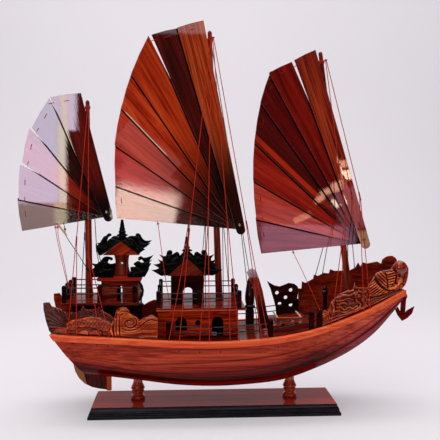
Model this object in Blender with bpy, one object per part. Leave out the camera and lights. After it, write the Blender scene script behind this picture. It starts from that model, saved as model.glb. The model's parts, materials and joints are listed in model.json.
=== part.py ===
"""A varnished hardwood display model of a three-masted junk, on its own moulded plinth.

+X is the bow, +Y is port and +Z is up. The origin is the middle of the plinth's underside.
Sizes and tables are in millimetres, and Blender's own unit is the metre.
"""

import math

import bmesh
import bpy
from mathutils import Vector
from mathutils.geometry import tessellate_polygon

MM = 0.001
GAP = 0.3

PLINTH_HEIGHT = 18.0
PEDESTAL_X = (-126.0, 126.5)

BOW_X = 306.0
TRANSOM_FOOT = (-208.8, 75.0)
TRANSOM_HEAD = (-257.8, 137.0)
STRAKE_PROUD = 1.3
CAP_DEPTH = 9.0
CAP_TOP = 2.7
CAP_INBOARD = 5.0
DECK_BELOW_CAP = 1.2
BOARD_INSET = 8.3
STAY_OUT = 0.8

# Columns: x, half breadth at the rail, keel, top of the rail, wale, fullness of the section.
HULL_LINES = (
    (-270.0, 53.0, 66.0, 138.6, 104.0, 2.6),
    (-216.0, 66.0, 65.0, 137.6, 101.5, 2.6),
    (-176.0, 73.0, 61.5, 137.0, 94.5, 2.5),
    (-120.0, 79.0, 54.5, 134.5, 85.0, 2.5),
    (-60.0, 82.5, 46.5, 131.5, 78.5, 2.5),
    (0.0, 84.0, 43.5, 130.2, 75.5, 2.5),
    (60.0, 83.0, 46.0, 132.8, 76.0, 2.5),
    (110.0, 79.0, 52.5, 137.0, 84.0, 2.6),
    (162.0, 72.0, 70.0, 147.0, 100.0, 2.8),
    (216.0, 62.5, 96.0, 163.0, 126.0, 3.2),
    (257.0, 53.5, 125.0, 178.0, 152.0, 3.6),
    (287.0, 46.5, 158.0, 192.5, 176.0, 4.0),
    (310.0, 41.0, 188.0, 203.0, 196.5, 4.0),
)

POOP_Z = 187.4
POOP_X = (-241.0, -120.0)
POOP_HALF = 54.0
UPPER_DECK_Z = 181.0
UPPER_DECK_X = (-93.0, 46.0)
UPPER_DECK_HALF = 72.0
DECK_THICK = 4.5
WALL = 3.0

# Columns: foot x, foot z, head x, head z, foot radius, head radius.
MASTS = {
    "mizzen": (-204.6, POOP_Z + GAP, -204.0, 508.0, 6.2, 3.0),
    "main": (10.6, 129.9, -6.9, 621.0, 6.2, 3.4),
    "fore": (229.0, 168.1, 174.3, 589.0, 5.9, 3.2),
}

SLAT = 1.5
SLAT_PITCH = SLAT + GAP
SAIL_BACK_Y = -(6.2 + GAP)
TACK_PIN = 1.25
TACK_HOLE = 1.6
FOOT_RADIUS = 8.0
FIRST_FOOT_RADIUS = 7.4
FIRST_FOOT_DROP = 8.5
# Each sail: tack pin x and z, height of the peg to the mast, then its slats from the luff aft.
# Slat columns: angle of the leading corner from the vertical, its distance from the pin,
# and the same for the trailing corner.
SAILS = {
    "mizzen": (-173.6, 327.9, 460.0, (
        (11.6, 193.6, 25.5, 202.1),
        (26.3, 201.4, 40.9, 178.2),
        (42.3, 180.5, 59.3, 155.4),
        (61.1, 156.9, 81.7, 141.6),
        (81.0, 144.2, 102.7, 139.3),
    )),
    "main": (40.7, 306.5, 535.0, (
        (10.1, 331.8, 17.6, 330.2),
        (16.9, 329.2, 24.9, 334.7),
        (25.7, 335.6, 35.7, 297.6),
        (34.9, 300.4, 45.4, 266.6),
        (44.5, 269.8, 57.3, 238.9),
        (56.4, 240.2, 72.4, 210.2),
        (71.4, 211.6, 86.7, 199.1),
    )),
    "fore": (245.6, 282.3, 470.0, (
        (15.1, 317.4, 22.0, 312.4),
        (22.8, 311.6, 30.4, 312.1),
        (29.5, 313.6, 37.6, 280.4),
        (36.8, 283.0, 48.8, 240.0),
        (47.9, 242.6, 62.2, 205.9),
        (61.2, 207.3, 79.5, 179.5),
        (78.6, 181.2, 98.0, 169.9),
    )),
}

# Columns: x, lower edge, upper edge.
STARBOARD_BOW = (
    (168.2, None, 169.0), (172.0, None, 174.0), (178.0, None, 171.0), (183.6, None, 186.9),
    (196.9, None, 197.9), (209.4, None, 203.1), (220.0, None, 207.0), (222.6, None, 215.9),
    (226.1, None, 208.0), (244.4, None, 206.5), (248.8, None, 213.7), (260.0, None, 230.0),
    (268.6, None, 232.6), (285.0, None, 234.8), (289.0, None, 241.5), (293.3, None, 246.0),
    (299.0, None, 249.0), (303.8, 203.6, 248.4), (309.0, 208.0, 244.6), (312.5, 216.0, 241.0),
    (314.5, 228.0, 236.6),
)
PORT_BOW = (
    (151.3, None, 189.6), (156.8, None, 189.0), (157.8, None, 202.1), (164.1, None, 199.4),
    (177.0, None, 206.9), (178.2, None, 214.1), (185.2, None, 212.1), (195.0, None, 217.4),
    (203.6, None, 216.8), (206.1, None, 224.1), (213.2, None, 221.4), (238.3, None, 222.5),
    (248.0, None, 227.7), (252.8, None, 236.5), (256.4, None, 229.2), (260.5, None, 237.3),
    (267.3, None, 235.2), (283.9, None, 239.1), (290.8, None, 235.5), (292.5, None, 242.6),
    (299.0, None, 247.6), (303.5, 203.6, 249.2), (309.0, 225.0, 249.4), (314.0, 230.0, 246.0),
    (316.5, 236.0, 241.5),
)

RED_BROWN = ((0.30, 0.045, 0.018), 0.22)
ORANGE = ((0.48, 0.085, 0.020), 0.22)
MAROON = ((0.16, 0.018, 0.014), 0.18)
DARK = ((0.045, 0.012, 0.010), 0.25)
BLACK = ((0.012, 0.013, 0.011), 0.30)
THREAD = ((0.45, 0.045, 0.025), 0.80)
SLAT_TONES = (
    ((0.36, 0.070, 0.018), 0.16),
    ((0.13, 0.012, 0.010), 0.16),
    ((0.33, 0.045, 0.015), 0.16),
)


def material(name, tone):
    """A Principled material of one colour and roughness."""
    colour, roughness = tone
    made = bpy.data.materials.new(name)
    made.use_nodes = True
    shader = made.node_tree.nodes["Principled BSDF"]
    shader.inputs["Base Color"].default_value = (*colour, 1.0)
    shader.inputs["Roughness"].default_value = roughness
    shader.inputs["Metallic"].default_value = 0.0
    return made


def as_object(name, bm, tone, at=(0.0, 0.0, 0.0), smooth=False):
    """The bmesh, drawn in millimetres around the point at, as an object of the scene."""
    bmesh.ops.recalc_face_normals(bm, faces=bm.faces)
    for vertex in bm.verts:
        vertex.co *= MM
    mesh = bpy.data.meshes.new(name)
    bm.to_mesh(mesh)
    bm.free()
    mesh.materials.append(material(name, tone))
    if smooth:
        mesh.shade_smooth()
        mesh.set_sharp_from_angle(angle=math.radians(35))
    made = bpy.data.objects.new(name, mesh)
    made.location = Vector(at) * MM
    bpy.context.scene.collection.objects.link(made)
    return made


def fused(name, pieces, operation="UNION"):
    """The first piece with the others joined to it, or cut out of it."""
    whole = pieces[0]
    for number, piece in enumerate(pieces[1:]):
        piece.hide_render = True
        join = whole.modifiers.new(f"joint {number}", "BOOLEAN")
        join.object = piece
        join.operation = operation
        join.solver = "EXACT"
    bpy.context.view_layer.update()
    graph = bpy.context.evaluated_depsgraph_get()
    mesh = bpy.data.meshes.new_from_object(whole.evaluated_get(graph))
    whole.modifiers.clear()
    whole.data = mesh
    while len(mesh.materials) > 1:
        mesh.materials.pop()
    for piece in pieces[1:]:
        bpy.data.objects.remove(piece)
    whole.name = name
    return whole


def circle(centre, radius, count=16, start=0.0, sweep=360.0):
    """Points round a circle, or along an arc of it with both its ends."""
    steps = count if sweep == 360.0 else count - 1
    angles = [math.radians(start + sweep * step / steps) for step in range(count)]
    return [(centre[0] + radius * math.cos(a), centre[1] + radius * math.sin(a)) for a in angles]


def board(name, outline, low, high, tone, holes=(), plane="XZ", at=(0.0, 0.0, 0.0)):
    """A flat board of this outline. low and high are its two faces, across the plane."""
    loops = [list(outline), *[list(hole) for hole in holes]]
    flat = [point for loop in loops for point in loop]
    across = {"XZ": lambda p, d: (p[0], d, p[1]), "XY": lambda p, d: (p[0], p[1], d),
              "YZ": lambda p, d: (d, p[0], p[1])}[plane]
    bm = bmesh.new()
    sides = [[bm.verts.new(across(point, depth)) for point in flat] for depth in (low, high)]
    cap = tessellate_polygon([[Vector((*point, 0.0)) for point in loop] for loop in loops])
    for corners in cap:
        for side in sides:
            bm.faces.new([side[corner] for corner in corners])
    first = 0
    for loop in loops:
        for step in range(len(loop)):
            a, b = first + step, first + (step + 1) % len(loop)
            bm.faces.new((sides[0][a], sides[0][b], sides[1][b], sides[1][a]))
        first += len(loop)
    return as_object(name, bm, tone, at)


def box(name, low, high, tone):
    """A block between two corners."""
    outline = ((low[0], low[1]), (high[0], low[1]), (high[0], high[1]), (low[0], high[1]))
    return board(name, outline, low[2], high[2], tone, plane="XY")


def lofted(name, rings, tone, smooth=True):
    """A skin over rings of the same count, closed at both ends."""
    bm = bmesh.new()
    rows = [[bm.verts.new(point) for point in ring] for ring in rings]
    for row, after in zip(rows, rows[1:]):
        for step in range(len(row)):
            beside = (step + 1) % len(row)
            bm.faces.new((row[step], row[beside], after[beside], after[step]))
    bm.faces.new(rows[0])
    bm.faces.new(rows[-1])
    return as_object(name, bm, tone, smooth=smooth)


def turned(name, profile, foot, tone, head=None, sides=16):
    """A turned piece. The profile's columns are radius and height along its own axis."""
    axis = (Vector(head) - Vector(foot)).normalized() if head else Vector((0.0, 0.0, 1.0))
    turn = Vector((0.0, 0.0, 1.0)).rotation_difference(axis)
    rings = []
    for radius, height in profile:
        round_points = circle((0.0, 0.0), radius, sides)
        rings.append([Vector(foot) + turn @ Vector((x, y, height)) for x, y in round_points])
    return lofted(name, rings, tone)


def thread(name, points, radius, tone, sides=6):
    """A tube along points, bent at each one, with flat ends."""
    route = [Vector(point) for point in points]
    rings = []
    for place, point in enumerate(route):
        before = route[max(place - 1, 0)]
        after = route[min(place + 1, len(route) - 1)]
        turn = Vector((0.0, 0.0, 1.0)).rotation_difference((after - before).normalized())
        round_points = circle((0.0, 0.0), radius, sides)
        rings.append([point + turn @ Vector((x, y, 0.0)) for x, y in round_points])
    return lofted(name, rings, tone)


def hull_value(x, column):
    """A hull line's value at x: a smooth curve through the table's rows."""
    rows = HULL_LINES
    place = 0
    while place < len(rows) - 2 and x > rows[place + 1][0]:
        place += 1

    def slope(row):
        low, high = max(row - 1, 0), min(row + 1, len(rows) - 1)
        return (rows[high][column] - rows[low][column]) / (rows[high][0] - rows[low][0])

    span = rows[place + 1][0] - rows[place][0]
    t = (x - rows[place][0]) / span
    return (
        (2 * t**3 - 3 * t**2 + 1) * rows[place][column]
        + (t**3 - 2 * t**2 + t) * span * slope(place)
        + (3 * t**2 - 2 * t**3) * rows[place + 1][column]
        + (t**3 - t**2) * span * slope(place + 1)
    )


def half_breadth(x):
    return hull_value(x, 1)


def rail_top(x):
    return hull_value(x, 3)


def deck_top(x):
    return rail_top(x) - DECK_BELOW_CAP


def transom_x(z):
    """The raked stern's place at a height."""
    rake = (TRANSOM_HEAD[0] - TRANSOM_FOOT[0]) / (TRANSOM_HEAD[1] - TRANSOM_FOOT[1])
    return TRANSOM_FOOT[0] + (z - TRANSOM_FOOT[1]) * rake


def girth_point(x, share, upper):
    """A point of the section at x: share 0 to 1 from keel to wale, or from wale to rail."""
    _, half, keel, top, wale, fullness = [hull_value(x, column) for column in range(6)]
    top -= CAP_TOP + GAP
    depth = top - keel
    wale_angle = math.acos((1.0 - (wale - keel) / depth) ** (fullness / 2.0))
    angle = wale_angle * share
    if upper:
        angle = wale_angle + (math.pi / 2 - wale_angle) * share
    breadth = half * math.sin(angle) ** (2.0 / fullness)
    height = keel + depth * (1.0 - math.cos(angle) ** (2.0 / fullness)) if angle < 1.57 else top
    return breadth + (STRAKE_PROUD if upper else 0.0), height


def hull():
    """The carved hull: a full round bottom, and an upper strake that stands proud of it."""
    girth = [(step / 7, False) for step in range(8)] + [(step / 4, True) for step in range(5)]
    stations = 26
    rings = []
    for station in range(stations + 1):
        ring = []
        for share, upper in girth:
            start = transom_x(100.0)
            for _ in range(4):
                start = transom_x(girth_point(start, share, upper)[1])
            x = start + (BOW_X - 2.0 - start) * station / stations
            breadth, height = girth_point(x, share, upper)
            ring.append((x, breadth, height))
        rings.append(ring[::-1] + [(x, -y, z) for x, y, z in ring[1:]])
    lofted("hull", rings, RED_BROWN)


def deck():
    """The main deck, laid on the hull inside the rail cap."""
    rings = []
    for step in range(25):
        x = -249.0 + (BOW_X - 2.5 + 249.0) * step / 24
        half = half_breadth(x) - CAP_INBOARD - GAP
        low, high = rail_top(x) - CAP_TOP, deck_top(x)
        rings.append([(x, -half, low), (x, half, low), (x, half, high), (x, -half, high)])
    lofted("deck", rings, MAROON, smooth=False)


def rail_cap():
    """The bright cap along each side, with the beams that close it at the bow and the stern."""
    pieces = []
    for side in (-1, 1):
        rings = []
        for step in range(29):
            share = step / 28
            ring = []
            outer = STRAKE_PROUD + GAP
            for out, down in (
                (outer, CAP_DEPTH), (outer + 2.0, CAP_DEPTH), (outer + 2.8, CAP_DEPTH * 0.6),
                (outer + 2.2, 1.2), (outer + 1.0, 0.0), (-CAP_INBOARD, 0.0),
                (-CAP_INBOARD, CAP_TOP), (outer, CAP_TOP),
            ):
                start = transom_x(rail_top(-255.0) - down) - 0.5
                x = start + (BOW_X + 1.0 - start) * share
                ring.append((x, side * (half_breadth(x) + out), rail_top(x) - down))
            rings.append(ring)
        pieces.append(lofted("side", rings, ORANGE))
    bow = rail_top(BOW_X)
    bow_half = half_breadth(BOW_X) + STRAKE_PROUD + 2.0
    pieces.append(box("bow", (BOW_X - 1.7, -bow_half, bow - CAP_DEPTH),
                      (BOW_X + 2.5, bow_half, bow + 0.4), ORANGE))
    stern = rail_top(-255.0)
    stern_half = half_breadth(-255.0) - 1.0
    pieces.append(box("stern", (-258.8, -stern_half, stern - CAP_TOP + 0.2),
                      (-249.5, stern_half, stern + 0.4), ORANGE))
    fused("rail_cap", pieces)


def plinth():
    """The stepped plinth: a loft of rectangles from the floor up."""
    steps = (
        (203.0, 51.0, 0.0), (203.0, 51.0, 4.2), (200.5, 48.5, 5.4), (200.5, 48.5, 8.6),
        (198.5, 46.6, 9.6), (197.3, 45.8, 12.6), (197.3, 45.8, PLINTH_HEIGHT),
    )
    rings = [[(-x, -y, z), (x, -y, z), (x, y, z), (-x, y, z)] for x, y, z in steps]
    lofted("plinth", rings, BLACK, smooth=False)


def pedestals():
    """Two turned pedestals between the plinth and the keel."""
    for place, x in zip(("aft", "fore"), PEDESTAL_X):
        reach = min(hull_value(x - 7, 2), hull_value(x + 7, 2)) - GAP - PLINTH_HEIGHT - GAP
        profile = (
            (9.5, 0.0), (11.5, 1.2), (11.5, 4.6), (9.6, 6.0), (8.2, 9.0), (8.6, 11.5),
            (10.4, 12.6), (10.4, 14.6), (7.6, 15.8), (11.3, 17.6), (11.5, 19.0),
            (8.8, 25.0), (7.5, 29.5), (7.4, reach),
        )
        turned(f"pedestal_{place}", profile, (x, 0.0, PLINTH_HEIGHT + GAP), ORANGE, sides=20)


def rudder():
    """The quarter-round rudder blade with its thicker leading post."""
    arc = [(-231.0, 77.0), (-228.5, 66.0), (-222.5, 54.5), (-213.0, 45.0), (-201.0, 39.0),
           (-188.0, 36.0), (-176.0, 34.3)]
    foot_x = transom_x(64.0) - 1.0
    under = [(-176.0, hull_value(-176.0, 2) - 2 * GAP),
             (foot_x, hull_value(foot_x, 2) - GAP), (transom_x(86.0) - 1.0, 86.0), (-227.0, 84.0)]
    blade = board("blade", arc + under, -1.8, 1.8, DARK)
    top = hull_value(-172.0, 2) - GAP
    post = board("post", ((-177.0, 33.2), (-169.4, 33.0), (-169.4, top), (-177.0, top + 0.2)),
                 -3.0, 3.0, ORANGE)
    fused("rudder", [blade, post])


def anchor():
    """The flat anchor that hangs at the bow beam."""
    y = -27.0
    outline = [
        (305.9, 184.0), (304.8, 163.5), (300.7, 171.6), (296.4, 167.0), (300.0, 158.0),
        (307.8, 148.3), (317.0, 153.6), (324.1, 160.7), (328.0, 172.3), (316.6, 166.0),
        (312.6, 162.0), (314.0, 184.0), (315.6, 187.5), (315.6, 191.5), (313.6, 194.3),
        (310.8, 194.8), (308.9, 193.0), (308.9, 187.0),
    ]
    board("anchor", outline, y - 1.6, y + 1.6, RED_BROWN, holes=[circle((312.2, 190.6), 1.3, 8)])


def curved_board(name, side, rows, thick, tone):
    """A board that follows the rail's curve in plan. Row columns: x, lower edge, upper edge.

    A lower edge of None stands on the deck.
    """
    rings = []
    for x, low, high in rows:
        bottom = deck_top(x) + GAP if low is None else low
        middle = side * (half_breadth(min(x, BOW_X)) - BOARD_INSET)
        inner, outer = middle - thick / 2, middle + thick / 2
        rings.append([(x, inner, bottom), (x, outer, bottom), (x, outer, high), (x, inner, high)])
    return lofted(name, rings, tone, smooth=False)


def bow_boards():
    """The two carved boards of the bow, whose forward ends are round heads."""
    curved_board("bow_board_starboard", -1, STARBOARD_BOW, 5.0, RED_BROWN)
    curved_board("bow_board_port", 1, PORT_BOW, 5.0, RED_BROWN)


def stern_boards():
    """The two carved boards of the quarters: a fish aft and a scroll forward of it."""
    # Columns: x, lower edge, upper edge.
    rows = (
        (-269.5, 178.0, 187.0), (-266.0, 160.0, 187.3), (-260.5, 143.0, 187.6),
        (-257.0, 139.5, 181.8), (-247.5, 139.5, 179.0), (-238.9, None, 176.2),
        (-230.0, None, 171.6), (-215.8, None, 173.8), (-211.0, None, 176.5),
        (-206.9, None, 184.3), (-203.0, None, 178.6), (-195.7, None, 178.4),
        (-186.0, None, 179.4), (-181.6, None, 183.6), (-178.5, None, 178.1),
        (-164.2, None, 170.6), (-158.4, None, 165.0), (-156.4, None, 170.0),
        (-154.2, None, 177.6), (-150.0, None, 181.4), (-144.4, None, 183.0),
        (-137.9, None, 182.0), (-132.5, None, 173.3), (-122.8, None, 166.7),
        (-118.5, None, 162.3), (-110.1, None, 167.5), (-101.1, None, 170.8),
        (-95.0, None, 169.6), (-90.3, None, 164.9),
    )
    for side, place in ((-1, "starboard"), (1, "port")):
        curved_board(f"stern_board_{place}", side, rows, 5.0, ORANGE)


def arch(centre, foot, width, height):
    """The outline of a round-headed opening, from its foot up."""
    radius = width / 2
    top = circle((centre, foot + height - radius), radius, 9, 0.0, 180.0)
    return [(centre + radius, foot), *top, (centre - radius, foot)]


def cabin(name, x_range, half, low, high, tone, openings):
    """Four walls round an open space, with holes cut straight across from side to side."""
    x0, x1 = x_range
    shell = board("shell", ((x0, -half), (x1, -half), (x1, half), (x0, half)), low, high, tone,
                  holes=[((x0 + WALL, -half + WALL), (x1 - WALL, -half + WALL),
                          (x1 - WALL, half - WALL), (x0 + WALL, half - WALL))], plane="XY")
    cutters = [board("opening", outline, -half - 5, half + 5, tone) for outline in openings]
    return fused(name, [shell, *cutters], "DIFFERENCE")


def railing(name, posts, wires, tone, size=7.0):
    """Square posts with blunt tops, joined by round wires. Post columns: x, y, foot, top.

    A foot of None stands on the sloping deck.
    """
    pieces = []
    half = size / 2
    for x, y, foot, top in posts:
        corners = ((-1, -1), (1, -1), (1, 1), (-1, 1))
        rings = [
            [(x + sx * reach, y + sy * reach, deck_top(x + sx * reach) + GAP if z is None else z)
             for sx, sy in corners]
            for reach, z in ((half, foot), (half, top - 1.5), (half - 1.5, top))
        ]
        pieces.append(lofted("post", rings, tone, smooth=False))
    pieces += [thread("wire", route, 0.8, tone) for route in wires]
    return fused(name, pieces)


def poop():
    """The poop house, its deck and the railing round its stern."""
    x0, x1 = POOP_X
    low = rail_top(-180.0) + 1.2
    cabin("poop_house", (x0 + 16.0, x1 - 1.0), 46.0, low, POOP_Z - DECK_THICK - GAP, DARK,
          [arch(x0 + 50.0, low - 1.0, 16.0, 30.0)])
    outline = ((x0, -POOP_HALF), (x1, -POOP_HALF), (x1, POOP_HALF), (x0, POOP_HALF))
    board("poop_deck", outline, POOP_Z - DECK_THICK, POOP_Z, RED_BROWN, plane="XY")
    top = POOP_Z + 27.0
    foot = POOP_Z + GAP
    side_y = POOP_HALF - 4.0
    posts = [(x0 + 4.5, y, foot, top) for y in (-side_y, -17.0, 17.0, side_y)]
    fore_x = x1 - 7.0
    posts += [(x, y, foot, top) for x in (-181.6, fore_x) for y in (-side_y, side_y)]
    wires = []
    for z in (POOP_Z + 13.5, POOP_Z + 22.8):
        wires.append([(x0 + 4.5, -side_y, z), (x0 + 4.5, side_y, z)])
        wires += [[(x0 + 4.5, y, z), (fore_x, y, z)] for y in (-side_y, side_y)]
    railing("poop_railing", posts, wires, DARK)


def hooked_wing(points, side, centre, base):
    """A carved wing's outline, from points drawn for the side that goes towards +X."""
    placed = [(centre + side * x, base + z) for x, z in points]
    return placed if side > 0 else placed[::-1]


# Each wing as drawn from its foot: out along the bottom, round the tips and back.
EAVE_WING = (
    (12.0, 0.0), (43.0, 0.0), (47.0, 10.5), (44.5, 13.0), (50.0, 24.0), (41.0, 21.5),
    (35.0, 25.5), (28.0, 26.6), (26.0, 22.0), (30.0, 18.5), (26.0, 15.5), (17.5, 14.0),
    (21.0, 8.5), (12.5, 4.5),
)


def aft_cabin():
    """The stern cabin, its eave, the tower on it, and the roof over the tower."""
    middle = -150.0
    cabin("stern_cabin", (-180.5, -122.4), 38.0, POOP_Z + GAP, 219.4, ORANGE,
          [arch(-151.6, POOP_Z - 1.0, 8.6, 26.0)])
    eave_top = 224.8
    box("eave", (-186.5, -44.0, 219.7), (-117.0, 44.0, eave_top), ORANGE)
    for side, place in ((-1, "aft"), (1, "fore")):
        outline = hooked_wing(EAVE_WING, side, middle, eave_top + GAP)
        plates = [board("wing", outline, y - 2.2, y + 2.2, BLACK) for y in (-36.0, 36.0)]
        ends = sorted((middle + side * 14.0, middle + side * 33.0))
        plates.append(box("sill", (ends[0], -37.0, eave_top + GAP + 0.6),
                          (ends[1], 37.0, eave_top + GAP + 4.0), BLACK))
        fused(f"eave_wings_{place}", plates)
    tower_low, tower_high = eave_top + GAP, 259.0
    waist = [(-161.0, 234.0), (-160.2, 242.0), (-160.6, 250.0), (-162.6, tower_high)]
    outline = [(-163.0, tower_low), *waist]
    outline += [(2 * middle - 1.0 - x, z) for x, z in reversed(outline)]
    board("tower", outline, -11.0, 11.0, RED_BROWN, holes=[circle((-150.6, 243.7), 2.5, 12)])
    gable_roof("upper_roof", middle, 29.0, tower_high + GAP, 22.5, 27.0, ORANGE)
    wings = ((0.0, 0.0), (20.0, -14.8), (29.4, -22.2), (31.0, -23.9), (33.5, -18.6), (40.5, -14.4),
             (37.0, -11.7), (42.6, -7.7), (48.0, -3.4), (37.0, -3.7), (32.0, 0.0), (28.0, 6.3),
             (23.8, 8.7), (20.4, 7.4), (20.4, 4.4), (24.3, 2.4), (26.3, -1.7), (25.5, -4.4),
             (20.3, 1.4), (17.2, 3.7), (13.5, 4.3), (9.7, 3.8), (5.5, 3.6), (0.0, 4.6))
    roof_carving("upper_roof_carving", middle, tower_high + GAP + 22.5, wings, 27.0,
                 ((8.4, 0.0), (8.4, 2.5), (6.2, 4.0), (8.6, 6.0), (8.6, 7.5), (5.6, 9.5),
                  (6.4, 11.5), (4.8, 15.0), (3.6, 22.0), (2.0, 32.0)))


def gable_roof(name, middle, half, low, rise, depth, tone):
    """A solid roof with a gable at each side of the ship."""
    outline = ((middle - half, low), (middle + half, low), (middle, low + rise))
    board(name, outline, -depth, depth, tone)


def roof_carving(name, middle, apex, wing, depth, finial):
    """Black roof boards over the gable, carved wings along both gables, and a turned finial."""
    right = [(x, z) for x, z in wing]
    whole = [(middle + x, apex + GAP + z) for x, z in right]
    whole += [(middle - x, apex + GAP + z) for x, z in reversed(right[1:-1])]
    pieces = [board("wings", whole, y - 2.4, y + 2.4, BLACK) for y in (-depth, depth)]
    slope = wing[1][1] / wing[1][0]
    reach = 26.0
    roof = [(middle, apex + GAP + 0.02), (middle + reach, apex + GAP + slope * reach + 0.02),
            (middle + reach, apex + GAP + slope * reach + 3.0), (middle, apex + GAP + 3.2),
            (middle - reach, apex + GAP + slope * reach + 3.0),
            (middle - reach, apex + GAP + slope * reach + 0.02)]
    pieces.append(board("roof boards", roof, -depth - 1.0, depth + 1.0, BLACK))
    pieces.append(turned("finial", finial, (middle, 0.0, apex + 1.2), BLACK))
    fused(name, pieces)


def midships():
    """The deckhouse, the upper deck over it, and the pavilion on that."""
    low = rail_top(-90.0) - DECK_BELOW_CAP + GAP
    cabin("deckhouse", (-91.0, 36.0), 50.0, low, UPPER_DECK_Z - DECK_THICK - GAP, ORANGE, [
        arch(-54.2, 141.0, 18.0, 22.0), arch(3.5, low - 1.0, 18.5, 32.0),
        circle((-27.7, 153.5), 4.4, 14),
    ])
    x0, x1 = UPPER_DECK_X
    half = UPPER_DECK_HALF
    mast_x = 8.9
    board("upper_deck", ((x0, -half), (x1, -half), (x1, half), (x0, half)),
          UPPER_DECK_Z - DECK_THICK, UPPER_DECK_Z, ORANGE,
          holes=[circle((mast_x, 0.0), 7.0, 16)], plane="XY")
    foot, top = UPPER_DECK_Z + GAP, UPPER_DECK_Z + 26.6
    side_y = half - 3.8
    ends = (x0 + 3.6, x1 - 9.5)
    posts = [(x, y, foot, top) for x in (ends[0], -26.0, ends[1]) for y in (-side_y, side_y)]
    posts += [(x, 0.0, foot, top) for x in ends]
    wires = []
    for z in (UPPER_DECK_Z + 13.8, UPPER_DECK_Z + 22.3):
        wires += [[(ends[0], y, z), (ends[1], y, z)] for y in (-side_y, side_y)]
        wires += [[(x, -side_y, z), (x, side_y, z)] for x in ends]
    railing("upper_railing", posts, wires, DARK, size=6.6)
    middle = -44.3
    cabin("pavilion", (-70.5, -18.0), 36.0, UPPER_DECK_Z + GAP, 226.4, DARK,
          [arch(-43.3, UPPER_DECK_Z - 1.0, 16.0, 28.0)])
    gable_roof("pavilion_roof", middle, 31.0, 226.7, 28.6, 38.0, RED_BROWN)
    wings = ((0.0, 0.0), (20.0, -18.45), (30.5, -28.1), (41.5, -28.6), (57.0, -19.2), (47.5, -17.4),
             (41.0, -11.0), (47.0, -2.0), (36.5, -5.0), (33.5, 3.0), (30.0, 5.2), (26.0, 4.6),
             (24.2, 1.0), (25.5, -2.6), (20.5, 0.6), (17.0, 2.4), (13.2, 0.2), (12.0, -4.0),
             (6.0, 1.6), (0.0, 4.4))
    roof_carving("pavilion_carving", middle, 226.7 + 28.6, wings, 38.0,
                 ((6.0, 0.0), (6.0, 3.0), (4.6, 4.6), (8.2, 6.8), (8.2, 8.2), (4.4, 10.2),
                  (4.9, 12.0), (3.0, 15.5), (2.8, 30.0)))


def main_deck_fittings():
    """The ladder, the pointed post, the hatch with its pierced board, and the deck railings."""
    foot = deck_top(88.6) + GAP
    y = -36.0
    # Columns: height, then the inner and the outer rail's x.
    rails = ((foot, 73.0, 86.5), (153.6, 71.8, 85.2), (168.5, 69.6, 81.6), (189.0, 66.0, 77.4),
             (202.7, 63.2, 74.6), (216.3, 58.6, 70.6), (226.0, 54.6, 67.4), (232.5, 51.6, 65.0))
    pieces = []
    for column in (1, 2):
        rings = [[(row[column] + sx * 1.6, y + sy * 2.0, row[0])
                  for sx, sy in ((-1, -1), (1, -1), (1, 1), (-1, 1))] for row in rails]
        pieces.append(lofted("stringer", rings, DARK, smooth=False))
    for low_row, high_row in zip(rails, rails[1:]):
        z = low_row[0] + 3.0
        pieces.append(box("rung", (high_row[1] + 0.6, y - 1.4, z), (high_row[2], y + 1.4, z + 2.0), DARK))
    head = [(51.0, 231.0), (66.2, 231.0), (64.0, 235.6), (59.0, 237.4), (54.0, 236.4)]
    pieces.append(board("head", head, y - 2.0, y + 2.0, DARK))
    fused("ladder", pieces)

    post_x, post_y = 63.5, 42.0
    profile = ((7.6, 0.0), (7.8, 40.0), (8.4, 46.0), (8.4, 49.0), (6.6, 52.0), (6.8, 58.0),
               (6.0, 68.0), (3.4, 76.0), (0.8, 82.0))
    turned("pointed_post", profile, (post_x, post_y, deck_top(post_x + 8.0) + GAP), DARK)

    hatch_x = (93.0, 152.0)
    rings = []
    for step in range(5):
        x = hatch_x[0] + (hatch_x[1] - hatch_x[0]) * step / 4
        low, high = deck_top(x) + GAP, deck_top(x) + 12.6 - 0.05 * (x - hatch_x[0])
        rings.append([(x, -45.0, low), (x, 45.0, low), (x, 45.0, high), (x, -45.0, high)])
    lofted("hatch", rings, MAROON, smooth=False)

    aft_foot, fore_foot = [deck_top(x) + 12.6 - 0.05 * (x - hatch_x[0]) + GAP for x in (109.4, 141.6)]
    outline = [(109.4, aft_foot), (141.6, fore_foot), (141.5, 161.4), (145.1, 175.9), (147.5, 190.5),
               (146.2, 196.6), (140.7, 200.9), (131.0, 202.6), (122.5, 199.2), (115.2, 196.6),
               (105.5, 198.8), (99.4, 202.4), (93.0, 206.7), (99.5, 192.1), (105.6, 171.4),
               (108.1, 161.7)]
    holes = [circle(centre, 3.3, 12) for centre in (
        (110.4, 186.0), (134.1, 190.6), (125.3, 177.9), (115.0, 166.9), (134.2, 165.1),
    )]
    board("pierced_board", outline, 39.0, 43.5, DARK, holes=holes)

    bollard_x = 185.0
    turned("bollard", ((5.4, 0.0), (5.4, 4.0), (3.8, 6.0), (3.8, 34.0), (5.2, 36.0), (5.2, 40.0),
                       (3.4, 42.0), (4.4, 45.0), (3.0, 48.4)),
           (bollard_x, 0.0, deck_top(bollard_x + 6.0) + GAP), DARK)

    # Columns: side, name, and the x of each post.
    for side, place, spots in ((-1, "starboard", (-74.0, 85.0, 151.0, 163.5)),
                               (1, "port", (-74.0, 85.0, 147.0))):
        posts = [(x, side * (half_breadth(x) - 9.5), None, deck_top(x) + 30.0) for x in spots]
        amidships = (0.0, side * (half_breadth(0.0) - 8.5))
        wires = []
        for up in (12.5, 22.0):
            route = (posts[0][:2], amidships, *[post[:2] for post in posts[1:]])
            wires.append([(x, across, deck_top(x) + up) for x, across in route])
        railing(f"deck_railing_{place}", posts, wires, DARK, size=7.4)


def mast_point(name, z):
    """The middle of a mast at a height."""
    foot_x, foot_z, head_x, head_z = MASTS[name][:4]
    return foot_x + (head_x - foot_x) * (z - foot_z) / (head_z - foot_z)


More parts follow.
